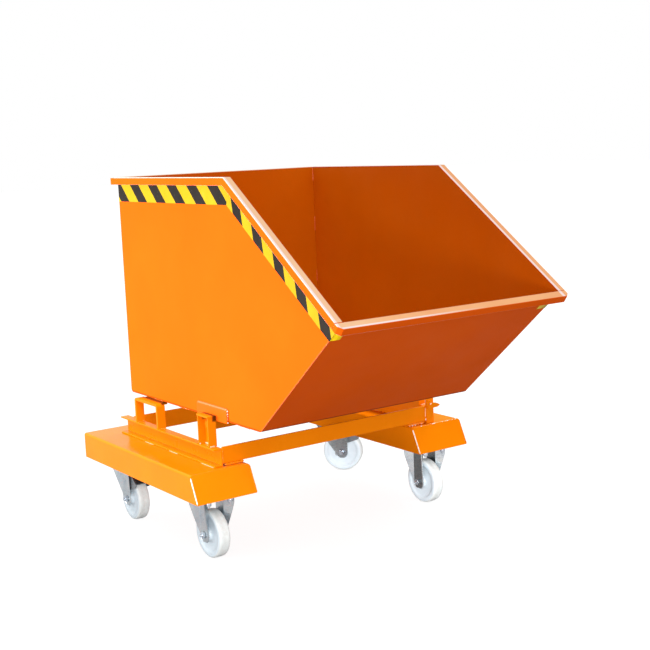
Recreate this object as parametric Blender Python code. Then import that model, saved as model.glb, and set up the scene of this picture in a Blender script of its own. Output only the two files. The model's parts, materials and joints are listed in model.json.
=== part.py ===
"""Mobile tipping skip: a sheet-steel hopper that tips forward about two pivot
bolts on an undercarriage of two fork pockets, two rails and two cross beams,
carried by two fixed castors at the front and two swivel castors at the rear.

Frame: metres, +Z up, +X to the right, -Y the pouring side (front). Lengths are
laid out from the middle of the fork pockets; the last step moves everything
along Y so that the origin is on the floor in the middle of the overall length.
"""
import math
from collections import namedtuple

import bmesh
import bpy
from mathutils import Matrix, Vector

MM = 0.001
GAP = 0.3 * MM                      # clearance between neighbouring pieces
SIDES = (("left", -1), ("right", 1))
X_AXIS, Y_AXIS, Z_AXIS = (1, 0, 0), (0, 1, 0), (0, 0, 1)

# ---- hopper -------------------------------------------------------------
HOP_W = 835.2 * MM                  # outside width over the side sheets
HOP_REAR = 286.0 * MM               # outer face of the rear wall
SIDE_REAR = 302.0 * MM              # side sheets run past the rear wall
HOP_FRONT_LOW = -581.0 * MM         # front end of the floor
HOP_KNEE = -476.0 * MM              # where the rim turns down
HOP_LIP = -1035.0 * MM              # pouring lip
HOP_FLOOR = 458.0 * MM              # underside of the floor
HOP_TOP = 1237.0 * MM               # upper face of the rim
HOP_LIP_Z = 842.0 * MM              # lip height
SHEET = 3.0 * MM                    # hopper sheet thickness
BEND = 12.0 * MM                    # outer bend radius of the wrapped sheet
RIM = 25.0 * MM                     # rim flange and rim leg
RIM_CHAMFER = 13.0 * MM             # cut corner at the pouring lip
TAPE_TOP = RIM + 1.0 * MM           # upper edge of the warning tape, below the rim face
TAPE_W = 60.0 * MM
TAPE_T = 0.6 * MM
TAPE_WRAP = 36.0 * MM               # tape turned onto the front sheet
TAPE_REAR = SIDE_REAR - 1.0 * MM

# ---- fork pockets -------------------------------------------------------
POCKET_X = 452.3 * MM               # centre line of each pocket
POCKET_W = 221.0 * MM
POCKET_Z0 = 217.0 * MM
POCKET_Z1 = 307.0 * MM
POCKET_T = 5.0 * MM
POCKET_REAR = 420.0 * MM
POCKET_FRONT_TOP = -380.0 * MM
POCKET_FRONT_LOW = -POCKET_REAR
POCKET_R = 8.0 * MM                 # bend radius of the folded sheet
END_T = 5.0 * MM                    # sloped plate closing the front of a pocket

# ---- rails and cross beams ----------------------------------------------
RAIL_X = 427.0 * MM                 # inner face of the rail web
RAIL_FLANGE = 31.0 * MM
RAIL_T = 5.0 * MM
RAIL_Z1 = 368.0 * MM
RAIL_REAR = 323.0 * MM
RAIL_FRONT = -356.0 * MM
BEAM_T = 6.0 * MM                   # cross beams are upright flat bars
BEAM_FRONT_Z = (316.5 * MM, 372.0 * MM)
BEAM_REAR_Z = (307.6 * MM, 370.0 * MM)
BEAM_REAR_Y = 276.0 * MM            # front face of the rear cross beam

# ---- rests --------------------------------------------------------------
REST_Y0 = 28.0 * MM
REST_Y1 = 200.0 * MM
REST_T = 10.0 * MM
REST_BEND_OUT = 13.0 * MM
REST_BEND_IN = 3.0 * MM
SEAT_INNER = 406.0 * MM             # inner edge of the seat strip
SEAT_OVERLAP = 6.0 * MM             # strip over the bar
SEAT_INSET = 20.0 * MM              # strip ends in from the ends of the bar

# ---- posts and pivot ----------------------------------------------------
POST_Y0 = -320.0 * MM
POST_Y1 = -250.0 * MM
POST_X = 424.4 * MM                 # inner face of the post web
POST_D = 30.0 * MM
POST_T = 5.0 * MM
POST_TOP = 465.0 * MM
CAP_T = 5.0 * MM
CAP_SINK = 0.5 * MM                 # cap let into the post
CAP_SIDE = 2.0 * MM                 # cap overhang outboard
CAP_END = 1.0 * MM                  # cap overhang to front and rear
PIVOT_Y = (POST_Y0 + POST_Y1) / 2
PIVOT_Z = 437.7 * MM
PIVOT_R = 8.0 * MM
PIVOT_HOLE = PIVOT_R + 0.6 * MM
PIVOT_TIP = 396.0 * MM              # inner end of the pivot bolt
PIVOT_HEX = 24.0 * MM               # across flats
PIVOT_HEAD = 10.0 * MM
TUBE = 37.0 * MM                    # square tube under the floor
TUBE_T = 4.0 * MM
PLATE_T = 5.7 * MM                  # pivot plate on the hopper side
PLATE_Y0 = -390.0 * MM
PLATE_Y1 = -196.0 * MM
PLATE_Z0 = 452.7 * MM
PLATE_Z1 = 496.0 * MM
LOBE_R = 20.0 * MM                  # round lobe of the plate about the pivot
LOBE_STEPS = 10

# ---- lock ---------------------------------------------------------------
LOCK_X = 436.0 * MM
LOCK_Z = 379.5 * MM
LOCK_PIN_R = 4.0 * MM
LOCK_COLLAR_R = 6.5 * MM            # pin head behind the plate
LOCK_HOLE_R = 4.5 * MM
LOCK_PLATE_T = 6.0 * MM
LOCK_PLATE_Y = (RAIL_FRONT - GAP - LOCK_PLATE_T, RAIL_FRONT - GAP)
LOCK_LEVER_Y = (-368.7 * MM, -362.7 * MM)
LOCK_PLATE_TOP = 402.0 * MM
LOCK_PLATE_W = 33.5 * MM
LOCK_PLATE_CUT = 4.0 * MM           # cut upper corners

# ---- castors ------------------------------------------------------------
CASTOR_X = POCKET_X
CASTOR_FRONT_Y = -311.0 * MM
CASTOR_REAR_Y = 305.0 * MM
CASTOR_H = 221.5 * MM               # top plates sit between the pocket walls
WHEEL_R = 80.0 * MM
WHEEL_HALF = 22.4 * MM
HUB_HALF = 27.6 * MM
BORE_R = 10.8 * MM
TRAIL = 60.0 * MM                   # kingpin to axle
SWIVEL_LEFT = math.radians(-3.0)
SWIVEL_RIGHT = math.radians(43.0)
AXLE_R = 6.0 * MM
AXLE_HEX = 19.0 * MM                # across flats
AXLE_HEAD = 7.5 * MM
AXLE_NUT = 10.0 * MM
AXLE_TIP = 16.0 * MM                # bolt end beyond the fork leg
LEG_T = 4.0 * MM
LEG_IN = 28.9 * MM                  # inner face of a fork leg at the axle
MOUNT_T = 8.0 * MM                  # plate welded between the pocket walls
MOUNT_HALF_Y = 75.0 * MM

FINISHES = {
    "paint": dict(colour=(0.86, 0.26, 0.012, 1.0), metallic=0.0, roughness=0.42),
    "zinc": dict(colour=(0.60, 0.63, 0.66, 1.0), metallic=1.0, roughness=0.34),
    "nylon": dict(colour=(0.86, 0.87, 0.86, 1.0), metallic=0.0, roughness=0.45),
    "tape": dict(colour=(0.85, 0.62, 0.02, 1.0), metallic=0.0, roughness=0.5),
}


# ---- objects ------------------------------------------------------------
def clear_scene():
    for old in list(bpy.data.objects):
        bpy.data.objects.remove(old, do_unlink=True)


def material(name, colour, metallic, roughness):
    mat = bpy.data.materials.new(name)
    mat.use_nodes = True
    shader = mat.node_tree.nodes.get("Principled BSDF")
    shader.inputs["Base Color"].default_value = colour
    shader.inputs["Metallic"].default_value = metallic
    shader.inputs["Roughness"].default_value = roughness
    mat.diffuse_color = colour
    return mat


def tidy(obj, sharp_angle=35.0):
    """Merge doubled vertices, turn normals outwards, shade with sharp edges."""
    bm = bmesh.new()
    bm.from_mesh(obj.data)
    bmesh.ops.remove_doubles(bm, verts=bm.verts, dist=1e-6)
    bmesh.ops.recalc_face_normals(bm, faces=bm.faces)
    for face in bm.faces:
        face.smooth = True
    for edge in bm.edges:
        if len(edge.link_faces) == 2:
            edge.smooth = edge.calc_face_angle(0.0) < math.radians(sharp_angle)
    bm.to_mesh(obj.data)
    bm.free()


def new_object(name, verts, faces):
    mesh = bpy.data.meshes.new(name)
    mesh.from_pydata([tuple(v) for v in verts], [], faces)
    obj = bpy.data.objects.new(name, mesh)
    bpy.context.scene.collection.objects.link(obj)
    return obj


def add(name, geometry, finish, origin=(0.0, 0.0, 0.0)):
    """One named object from world-space (verts, faces), its origin at `origin`."""
    verts, faces = geometry
    origin = Vector(origin)
    obj = new_object(name, [Vector(v) - origin for v in verts], faces)
    obj.location = origin
    obj.data.materials.append(material(name + "_mat", **FINISHES[finish]))
    tidy(obj)
    return obj


def combine(obj, geometry, operation):
    """Boolean of world-space geometry into `obj`, kept as a plain mesh."""
    other = new_object("cutter", *geometry)
    tidy(other)
    mod = obj.modifiers.new("bool", "BOOLEAN")
    mod.operation = operation
    mod.solver = "EXACT"
    mod.object = other
    bpy.context.view_layer.update()
    graph = bpy.context.evaluated_depsgraph_get()
    mesh = bpy.data.meshes.new_from_object(obj.evaluated_get(graph))
    obj.modifiers.remove(mod)
    old = obj.data
    finish = old.materials[0]
    obj.data = mesh
    mesh.materials.clear()
    mesh.materials.append(finish)
    for poly in mesh.polygons:
        poly.material_index = 0
    bpy.data.meshes.remove(old)
    bpy.data.objects.remove(other, do_unlink=True)
    tidy(obj)


def join(obj, geometry):
    combine(obj, geometry, "UNION")


def cut(obj, geometry):
    combine(obj, geometry, "DIFFERENCE")


def drill(obj, centre, axis, radius, reach=0.08):
    cut(obj, revolve([(-reach, radius), (reach, radius)], 24, centre, axis))


# ---- geometry: every shape is a (verts, faces) pair ------------------------
def scaled(points):
    """Points given in millimetres, in metres."""
    return [tuple(value * MM for value in point) for point in points]


def span(sign, near, far):
    """Ascending X limits of a piece on the left (-1) or right (+1) side."""
    return sorted((sign * near, sign * far))


def loft(near_end, far_end):
    """Closed solid between two matching loops of points."""
    n = len(near_end)
    faces = [list(range(n)), list(range(2 * n - 1, n - 1, -1))]
    faces += [[i, (i + 1) % n, n + (i + 1) % n, n + i] for i in range(n)]
    return near_end + far_end, faces


def prism(outline, lo, hi, axis):
    """Extrude an outline along `axis`; its points give the other two axes
    in alphabetical order (x: y,z / y: x,z / z: x,y)."""
    def place(a, b, along):
        return {"x": (along, a, b), "y": (a, along, b), "z": (a, b, along)}[axis]
    return loft([place(a, b, lo) for a, b in outline], [place(a, b, hi) for a, b in outline])


def box(x0, x1, y0, y1, z0, z1):
    return prism([(x0, y0), (x1, y0), (x1, y1), (x0, y1)], z0, z1, "z")


def revolve(profile, segments, centre, axis, closed=False):
    """Revolve (along, radius) pairs about `axis`: a closed profile makes a
    ring, an open one a solid with both ends capped."""
    axis = Vector(axis).normalized()
    side = axis.cross(Vector(Z_AXIS))
    if side.length < 1e-6:
        side = Vector(X_AXIS)
    side.normalize()
    up = side.cross(axis)
    centre = Vector(centre)
    n = len(profile)
    verts = []
    faces = []
    for s in range(segments):
        angle = 2 * math.pi * s / segments
        radial = side * math.cos(angle) + up * math.sin(angle)
        verts += [centre + axis * along + radial * radius for along, radius in profile]
        here, there = s * n, (s + 1) % segments * n
        for i in range(n if closed else n - 1):
            j = (i + 1) % n
            faces.append([here + i, here + j, there + j, there + i])
    if not closed:
        faces.append([s * n for s in range(segments)])
        faces.append([s * n + n - 1 for s in reversed(range(segments))])
    return verts, faces


def mirror(geometry):
    verts, faces = geometry
    return [(-x, y, z) for x, y, z in verts], [face[::-1] for face in faces]


def meet(p, d, q, e):
    """Intersection of two lines p + s d and q + t e in a plane."""
    det = d[0] * e[1] - d[1] * e[0]
    s = ((q[0] - p[0]) * e[1] - (q[1] - p[1]) * e[0]) / det
    return (p[0] + s * d[0], p[1] + s * d[1])


def fillet(points, radius, steps=4):
    """Round the inner corners of an open polyline."""
    out = [points[0]]
    for i in range(1, len(points) - 1):
        before, corner, after = (Vector(points[i + k]) for k in (-1, 0, 1))
        back = (before - corner).normalized()
        ahead = (after - corner).normalized()
        half = back.angle(ahead) / 2
        setback = radius / math.tan(half)
        centre = corner + (back + ahead).normalized() * (radius / math.sin(half))
        start = corner + back * setback - centre
        end = corner + ahead * setback - centre
        turn = start.angle(end)
        for k in range(steps + 1):
            t = k / steps
            arm = start * math.sin((1 - t) * turn) + end * math.sin(t * turn)
            out.append(tuple(centre + arm / math.sin(turn)))
    out.append(points[-1])
    return out


def hexagon(across, start, end, centre, axis):
    """Hexagon body with softened ends."""
    soft = 1.0 * MM
    radius = across / math.sqrt(3.0)
    return revolve([(start, radius - soft), (start + 0.5 * soft, radius),
                    (end - 0.5 * soft, radius), (end, radius - soft)], 6, centre, axis)


def bolt(name, centre, axis, head_at, tip_at, radius, across, head, finish):
    """Shank from head_at up to tip_at along `axis`, a hexagon head before it."""
    soft = 1.0 * MM
    shank = [(head_at - soft, radius), (tip_at - soft, radius), (tip_at, radius - soft)]
    obj = add(name, revolve(shank, 24, centre, axis), finish, centre)
    join(obj, hexagon(across, head_at - head, head_at, centre, axis))


# ---- hopper ---------------------------------------------------------------
XO = HOP_W / 2                      # outer and inner face of a side sheet
XI = XO - SHEET
RIM_OUT = XO + RIM
EDGE = SHEET + GAP                  # sheet edges lie under the rim

# In the (y, z) plane: the rim falls from the knee to the lip along SLOPE, and
# the front sheet rises from the floor to the lip along FRONT.
KNEE = Vector((HOP_KNEE, HOP_TOP))
LIP = Vector((HOP_LIP, HOP_LIP_Z))
SLOPE = (LIP - KNEE).normalized()
SLOPE_IN = Vector((-SLOPE.y, SLOPE.x))            # into the hopper
FRONT = (LIP - Vector((HOP_FRONT_LOW, HOP_FLOOR))).normalized()
FRONT_OUT = Vector((-FRONT.y, FRONT.x))           # away from the hopper


def knee_at(depth):
    """Knee of the rim line moved `depth` into the hopper."""
    return meet((0.0, HOP_TOP - depth), (1.0, 0.0), KNEE + SLOPE_IN * depth, SLOPE)


def front_at(depth, out=0.0):
    """Where the rim slope moved in by `depth` meets the front sheet moved `out`."""
    return meet(KNEE + SLOPE_IN * depth, SLOPE, LIP + FRONT_OUT * out, FRONT)


def rim_point(along, depth):
    """(y, z) at a distance along the slope from the knee."""
    return tuple(KNEE + SLOPE * along + SLOPE_IN * depth)


# inner face of the front sheet, along the slope from the knee
LIP_INNER = (Vector(front_at(0.0, -SHEET)) - KNEE).dot(SLOPE)


def pivot_origin(x=0.0):
    return (x, PIVOT_Y, PIVOT_Z)


def hopper_wrap():
    """Rear wall, floor and front sheet bent from one sheet."""
    rear_in, floor_in = HOP_REAR - SHEET, HOP_FLOOR + SHEET
    outer = [(HOP_REAR, HOP_TOP - EDGE), (HOP_REAR, HOP_FLOOR),
             (HOP_FRONT_LOW, HOP_FLOOR), front_at(EDGE)]
    inner = [(rear_in, HOP_TOP - EDGE), (rear_in, floor_in),
             meet((0.0, floor_in), (1.0, 0.0), LIP - FRONT_OUT * SHEET, FRONT),
             front_at(EDGE, -SHEET)]
    outline = fillet(outer, BEND) + fillet(inner, BEND - SHEET)[::-1]
    add("hopper_wrap", prism(outline, -XI + GAP, XI - GAP, "x"), "paint", pivot_origin())


def hopper_side(tag, sign):
    outline = fillet([(SIDE_REAR, HOP_TOP - EDGE), (SIDE_REAR, HOP_FLOOR),
                      (HOP_FRONT_LOW, HOP_FLOOR), front_at(EDGE)], BEND) + [knee_at(EDGE)]
    add("hopper_side_" + tag, prism(outline, *span(sign, XI, XO), "x"), "paint",
        pivot_origin(sign * XO))


def side_rims():
    """Outward flange with a turned-down leg, from the rear wall over the knee
    to the lip."""
    section = [(XI, 0.0), (RIM_OUT, 0.0), (RIM_OUT, RIM), (RIM_OUT - SHEET, RIM),
               (RIM_OUT - SHEET, SHEET), (XI, SHEET)]          # x, depth
    verts = [(x, HOP_REAR - SHEET - GAP, HOP_TOP - depth) for x, depth in section]
    verts += [(x,) + knee_at(depth) for x, depth in section]
    verts += [(x,) + rim_point(LIP_INNER - GAP, depth) for x, depth in section]
    faces = [[0, 1, 2, 3, 4, 5], [17, 16, 15, 14, 13, 12]]
    for row in (0, 6):
        faces += [[row + i, row + 6 + i, row + 6 + (i + 1) % 6, row + (i + 1) % 6]
                  for i in range(6)]
    add("rim_right", (verts, faces), "paint", pivot_origin(XO))
    add("rim_left", mirror((verts, faces)), "paint", pivot_origin(-XO))


def rim_end(chamfer, place):
    """Flange and leg around three sides of a straight strip, outer corners cut
    by `chamfer`; place(x, outward, depth) gives the position in space."""
    def outline(inset):
        w = RIM_OUT - inset
        d = RIM + SHEET - inset
        if not chamfer:
            return [(-w, 0.0), (-w, d), (w, d), (w, 0.0)]
        c = chamfer - inset * (2 - math.sqrt(2))
        return [(-w, 0.0), (-w, d - c), (-w + c, d), (w - c, d), (w, d - c), (w, 0.0)]

    outer, inner = outline(0.0), outline(SHEET)
    n = len(outer)
    verts = []
    for loop, depth in ((outer, 0.0), (outer, RIM), (inner, RIM), (inner, SHEET)):
        verts += [place(x, outward, depth) for x, outward in loop]
    faces = [list(range(n)), [3 * n + i for i in reversed(range(n))]]
    for i in range(n - 1):
        for row in (0, n, 2 * n):
            faces.append([row + i, row + n + i, row + n + i + 1, row + i + 1])
    faces.append([0, n - 1, 2 * n - 1, 3 * n - 1, 4 * n - 1, 3 * n, 2 * n, n])
    return verts, faces


def rim_front():
    def place(x, outward, depth):
        return (x,) + rim_point(LIP_INNER + outward, depth)
    add("rim_front", rim_end(RIM_CHAMFER, place), "paint", pivot_origin())


def rim_rear():
    def place(x, outward, depth):
        return (x, HOP_REAR - SHEET + outward, HOP_TOP - depth)
    add("rim_rear", rim_end(0.0, place), "paint", pivot_origin())


def tapes():
    """Warning tape on each side, turned round the front corner."""
    upper, lower = TAPE_TOP, TAPE_TOP + TAPE_W
    verts = []
    for off in (GAP, GAP + TAPE_T):
        outline = [(TAPE_REAR, HOP_TOP - upper), knee_at(upper), front_at(upper, off),
                   front_at(lower, off), knee_at(lower), (TAPE_REAR, HOP_TOP - lower)]
        verts += [(XO + off,) + point for point in outline]
        verts += [(XO - TAPE_WRAP,) + front_at(depth, off) for depth in (upper, lower)]
    faces = [[0, 5, 4, 3, 2, 1], [8, 9, 10, 11, 12, 13], [2, 3, 7, 6], [10, 14, 15, 11],
             [0, 1, 9, 8], [1, 2, 10, 9], [3, 4, 12, 11], [4, 5, 13, 12], [5, 0, 8, 13],
             [2, 6, 14, 10], [3, 11, 15, 7], [6, 7, 15, 14]]
    add("tape_right", (verts, faces), "tape", pivot_origin(XO))
    add("tape_left", mirror((verts, faces)), "tape", pivot_origin(-XO))


def tilt_tube():
    """Square tube across the underside of the floor, between the pivot plates."""
    z1 = HOP_FLOOR - GAP

    def square(inset):
        y0, y1 = PIVOT_Y - TUBE / 2 + inset, PIVOT_Y + TUBE / 2 - inset
        z_low, z_high = z1 - TUBE + inset, z1 - inset
        return [(y0, z_low), (y1, z_low), (y1, z_high), (y0, z_high)]

    tube = add("tilt_tube", prism(square(0.0), -XO + GAP, XO - GAP, "x"), "paint",
               pivot_origin())
    cut(tube, prism(square(TUBE_T), -XO - 0.01, XO + 0.01, "x"))


def pivot_plate(tag, sign):
    angles = [math.pi * k / LOBE_STEPS for k in range(LOBE_STEPS + 1)]
    lobe = [(PIVOT_Y - LOBE_R * math.cos(a), PIVOT_Z - LOBE_R * math.sin(a)) for a in angles]
    outline = ([(PLATE_Y0, PLATE_Z1), (PLATE_Y0, PLATE_Z0), (PIVOT_Y - LOBE_R, PLATE_Z0)]
               + lobe
               + [(PIVOT_Y + LOBE_R, PLATE_Z0), (PLATE_Y1, PLATE_Z0), (PLATE_Y1, PLATE_Z1)])
    plate = add("pivot_plate_" + tag,
                prism(outline, *span(sign, XO + GAP, XO + GAP + PLATE_T), "x"),
                "paint", pivot_origin(sign * XO))
    drill(plate, pivot_origin(sign * XO), X_AXIS, PIVOT_HOLE)


# ---- undercarriage ----------------------------------------------------------
def pocket_front(z):
    """Y of the sloped front end of a pocket at height z."""
    t = (POCKET_Z1 - z) / (POCKET_Z1 - POCKET_Z0)
    return POCKET_FRONT_TOP + (POCKET_FRONT_LOW - POCKET_FRONT_TOP) * t


def pocket_outline(centre_x):
    x0, x1 = centre_x - POCKET_W / 2, centre_x + POCKET_W / 2
    return fillet([(x0, POCKET_Z0), (x0, POCKET_Z1), (x1, POCKET_Z1), (x1, POCKET_Z0)],
                  POCKET_R, 4)


def between(outline, back, front):
    """Solid along Y whose ends are the surfaces back(z) and front(z)."""
    return loft([(x, back(z), z) for x, z in outline], [(x, front(z), z) for x, z in outline])


def fork_pocket(tag, sign):
    """Folded sheet open at the bottom, and the plate closing its front."""
    centre_x = sign * POCKET_X
    outer = pocket_outline(centre_x)
    half = POCKET_W / 2 - POCKET_T
    roof = POCKET_Z1 - POCKET_T
    inner = [(centre_x + half, POCKET_Z0), (centre_x + half, roof),
             (centre_x - half, roof), (centre_x - half, POCKET_Z0)]
    add("fork_pocket_" + tag,
        between(outer + inner, lambda z: POCKET_REAR, lambda z: pocket_front(z) + END_T + GAP),
        "paint")
    add("pocket_end_" + tag,
        between(outer, lambda z: pocket_front(z) + END_T, pocket_front), "paint")


def castor_mounts(tag, sign):
    centre_x = sign * POCKET_X
    half = POCKET_W / 2 - POCKET_T - GAP
    z0 = CASTOR_H + GAP
    for end, y in (("front", CASTOR_FRONT_Y), ("rear", CASTOR_REAR_Y)):
        add("castor_mount_%s_%s" % (end, tag),
            box(centre_x - half, centre_x + half, y - MOUNT_HALF_Y, y + MOUNT_HALF_Y,
                z0, z0 + MOUNT_T), "paint")


def channel(web, web_inner, edge, lo, hi, thickness):
    """U outline: web face, inner web face and flange edge across, lo to hi along."""
    return [(web, lo), (edge, lo), (edge, lo + thickness), (web_inner, lo + thickness),
            (web_inner, hi - thickness), (edge, hi - thickness), (edge, hi), (web, hi)]


def rail(tag, sign):
    """Channel with its web inboard."""
    outline = channel(sign * RAIL_X, sign * (RAIL_X + RAIL_T), sign * (RAIL_X + RAIL_FLANGE),
                      POCKET_Z1 + GAP, RAIL_Z1, RAIL_T)
    add("rail_" + tag, prism(outline, RAIL_FRONT, RAIL_REAR, "y"), "paint")


def rest(tag, sign):
    """Bent flat bar on the rail, with a seat strip reaching inboard on top."""
    z0, z1 = RAIL_Z1 + GAP, HOP_FLOOR - GAP * 2
    y0, y1 = REST_Y0 + REST_T, REST_Y1 - REST_T
    outer = fillet([(REST_Y1, z0), (REST_Y1, z1), (REST_Y0, z1), (REST_Y0, z0)],
                   REST_BEND_OUT, 5)
    inner = fillet([(y1, z0), (y1, z1 - REST_T), (y0, z1 - REST_T), (y0, z0)],
                   REST_BEND_IN, 3)
    bar = add("rest_" + tag,
              prism(outer + inner[::-1], *span(sign, RAIL_X, RAIL_X + RAIL_FLANGE), "x"),
              "paint")
    join(bar, box(*span(sign, SEAT_INNER, RAIL_X + SEAT_OVERLAP),
                  REST_Y0 + SEAT_INSET, REST_Y1 - SEAT_INSET, z1 - REST_T, z1))


def pivot_post(tag, sign):
    """Upright channel, open outboard, with a cap on top."""
    outline = channel(sign * POST_X, sign * (POST_X + POST_T), sign * (POST_X + POST_D),
                      POST_Y0, POST_Y1, POST_T)
    post = add("pivot_post_" + tag, prism(outline, RAIL_Z1 + GAP, POST_TOP, "z"), "paint")
    drill(post, pivot_origin(sign * POST_X), X_AXIS, PIVOT_HOLE)
    join(post, box(*span(sign, POST_X, POST_X + POST_D + CAP_SIDE), POST_Y0 - CAP_END,
                   POST_Y1 + CAP_END, POST_TOP - CAP_SINK, POST_TOP + CAP_T))


def pivot_bolt(tag, sign):
    """Head inside the post channel, tip pointing inboard."""
    bolt("pivot_bolt_" + tag, pivot_origin(), (-sign, 0, 0), -(POST_X + POST_T + GAP),
         -PIVOT_TIP, PIVOT_R, PIVOT_HEX, PIVOT_HEAD, "paint")


def cross_beams():
    half = RAIL_X - GAP
    for end, y, heights in (("front", RAIL_FRONT, BEAM_FRONT_Z),
                            ("rear", BEAM_REAR_Y, BEAM_REAR_Z)):
        add("cross_beam_" + end, box(-half, half, y, y + BEAM_T, *heights), "paint")


# ---- lock at the front of the right-hand rail ---------------------------------
# lever outline, mm from the pin: x, z
LEVER_OUTLINE = scaled([
    (48, -11), (40, -4.5), (30, -0.5), (20, 0.5), (11, 5.5), (6, 9.5), (0, 11),
    (-6, 9.5), (-10, 5), (-11.2, -2), (-7.5, -11.5), (-4, -17), (21, -17), (36, -16.5)])


def lock_plate():
    x0, x1 = POST_X, POST_X + LOCK_PLATE_W
    z0, z1 = POCKET_Z1 + GAP, LOCK_PLATE_TOP
    corner = LOCK_PLATE_CUT
    outline = [(x0, z0), (x1, z0), (x1, z1 - corner), (x1 - corner, z1),
               (x0 + corner, z1), (x0, z1 - corner)]
    plate = add("lock_plate", prism(outline, *LOCK_PLATE_Y, "y"), "paint")
    drill(plate, (LOCK_X, LOCK_PLATE_Y[0], LOCK_Z), Y_AXIS, LOCK_HOLE_R)


def lock_lever():
    origin = (LOCK_X, LOCK_LEVER_Y[0], LOCK_Z)
    outline = [(LOCK_X + x, LOCK_Z + z) for x, z in LEVER_OUTLINE]
    lever = add("lock_lever", prism(outline, *LOCK_LEVER_Y, "y"), "paint", origin)
    drill(lever, origin, Y_AXIS, LOCK_HOLE_R)


def lock_pin():
    """Pin through plate and lever, its collar behind the plate; the profile
    runs forward, so distances along it are -y."""
    collar = -(LOCK_PLATE_Y[1] + GAP)
    tip = -(LOCK_LEVER_Y[0] - 5 * MM)
    profile = [(collar - 4 * MM, LOCK_COLLAR_R - 1 * MM), (collar - 3 * MM, LOCK_COLLAR_R),
               (collar, LOCK_COLLAR_R), (collar + 0.01 * MM, LOCK_PIN_R),
               (tip - 1 * MM, LOCK_PIN_R), (tip, LOCK_PIN_R - 1 * MM)]
    add("lock_pin", revolve(profile, 24, (LOCK_X, 0, LOCK_Z), (0, -1, 0)), "paint",
        (LOCK_X, LOCK_PLATE_Y[0], LOCK_Z))


# ---- castors --------------------------------------------------------------
# tag, swivel axis x and y, swivel angle, trail, axle centre, axle direction
Castor = namedtuple("Castor", "tag x y angle trail hub axis")

FIXED_PLATE = (57.0 * MM, 70.0 * MM)        # half sizes in x and y
FIXED_PLATE_T = 4.5 * MM
SWIVEL_PLATE = (55.0 * MM, 68.0 * MM)
SWIVEL_PLATE_T = 5.0 * MM
PLATE_CORNER = 9.0 * MM
CROWN_Z = 202.0 * MM                        # top of the swivel fork
LEG_HEAD_SWIVEL = 192.0 * MM                # top of the legs
LEG_HEAD_FIXED = CASTOR_H - 2.5 * MM
KINGPIN_R = 8.0 * MM
KINGPIN_SEAT = 181.0 * MM                   # top of the kingpin head

# revolved profiles: height, radius
TOP_DISH = scaled([(203, 36), (206, 40), (212, 45), (217, 47)])
CROWN = scaled([(182, 34), (186, 42), (196, 45)]) + [(CROWN_Z, 42 * MM)]
KINGPIN = scaled([(168, 11), (170, 13)]) + [
    (KINGPIN_SEAT, 13 * MM), (KINGPIN_SEAT + 0.01 * MM, KINGPIN_R),
    (CASTOR_H - 0.2 * MM, KINGPIN_R)]
# flat shelf across the crown, before turning: x0, x1, y0, y1, z0, z1
SHELF = (-35 * MM, 35 * MM, -76 * MM, 40 * MM, 188 * MM, 193 * MM)

WING_MIN = 2.2 * MM                         # narrowest fold of a leg edge
# heights of the leg sections between top and axle
LEG_HEIGHTS = [z * MM for z in (180, 165, 150, 135, 120, 106, 93, 80)]
# foot of a leg: height, cut back of each web edge, widest rear wing
LEG_FOOT = scaled([(68, 1.0, 8.0), (61, 5.0, 5.0), (57, 9.5, 2.2), (55.5, 13.0, 2.2)])

# brake, from the axle: y, z above the wheel radius
BRAKE_CHEEK = scaled([(-13, 33), (-64, 50), (-71.8, 57), (-71.8, 64), (-42, 85), (-16, 92),
                      (-9, 84), (-7, 44)])
BRAKE_PEDAL = scaled([(-34, 82.8), (-69.5, 62.6), (-71.5, 66.2), (-36, 86.4)])
CHEEK_X = (24.6 * MM, 27.4 * MM)            # inner and outer face of a cheek
PEDAL_HALF = 26.0 * MM

# right half of the wheel section: distance from the middle, radius
WHEEL_SECTION = [
    (HUB_HALF, BORE_R), (HUB_HALF, 19 * MM), (HUB_HALF - 1.5 * MM, 20.5 * MM),
    (WHEEL_HALF - 7 * MM, 23 * MM), (WHEEL_HALF - 7.5 * MM, 56 * MM),
    (WHEEL_HALF - 2 * MM, 61 * MM), (WHEEL_HALF - 0.5 * MM, 73 * MM),
    (WHEEL_HALF - 1.5 * MM, 77 * MM), (WHEEL_HALF - 5 * MM, 79.6 * MM),
    (WHEEL_HALF - 10 * MM, WHEEL_R)]
SLEEVE_HALF, SLEEVE_IN, SLEEVE_OUT = 28.5 * MM, 6.7 * MM, 10.0 * MM


def leg(sign, levels):
    """Pressed fork leg: a flat web whose two edges are folded outwards into
    wings. Levels are (z, rear web y, rear wing y, rear wing x, front web y,
    front wing y, front wing x), with the wings measured from the web edges."""
    verts = []
    outer_x = LEG_IN + LEG_T
    fold = LEG_T * math.tan(math.radians(20.0))
    for z, rear, rear_y, rear_x, front, front_y, front_x in levels:
        rear_skin = Vector((rear_y, -rear_x)).normalized() * LEG_T
        front_skin = Vector((front_y, front_x)).normalized() * LEG_T
        section = [(LEG_IN + front_x, front - front_y), (LEG_IN, front), (LEG_IN, rear),
                   (LEG_IN + rear_x, rear + rear_y),
                   (LEG_IN + rear_x + rear_skin.x, rear + rear_y + rear_skin.y),
                   (outer_x, rear - fold), (outer_x, front + fold),
                   (LEG_IN + front_x + front_skin.x, front - front_y + front_skin.y)]
        verts += [(sign * x, y, z) for x, y in section]
    faces = []
    last = (len(levels) - 1) * 8
    for row in range(0, last, 8):
        for i in range(8):
            j = (i + 1) % 8
            faces += [[row + i, row + j, row + 8 + j], [row + i, row + 8 + j, row + 8 + i]]
    faces.append([7, 6, 5, 4, 3, 2, 1, 0])
    faces.append([last + i for i in range(8)])
    return verts, faces


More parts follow.
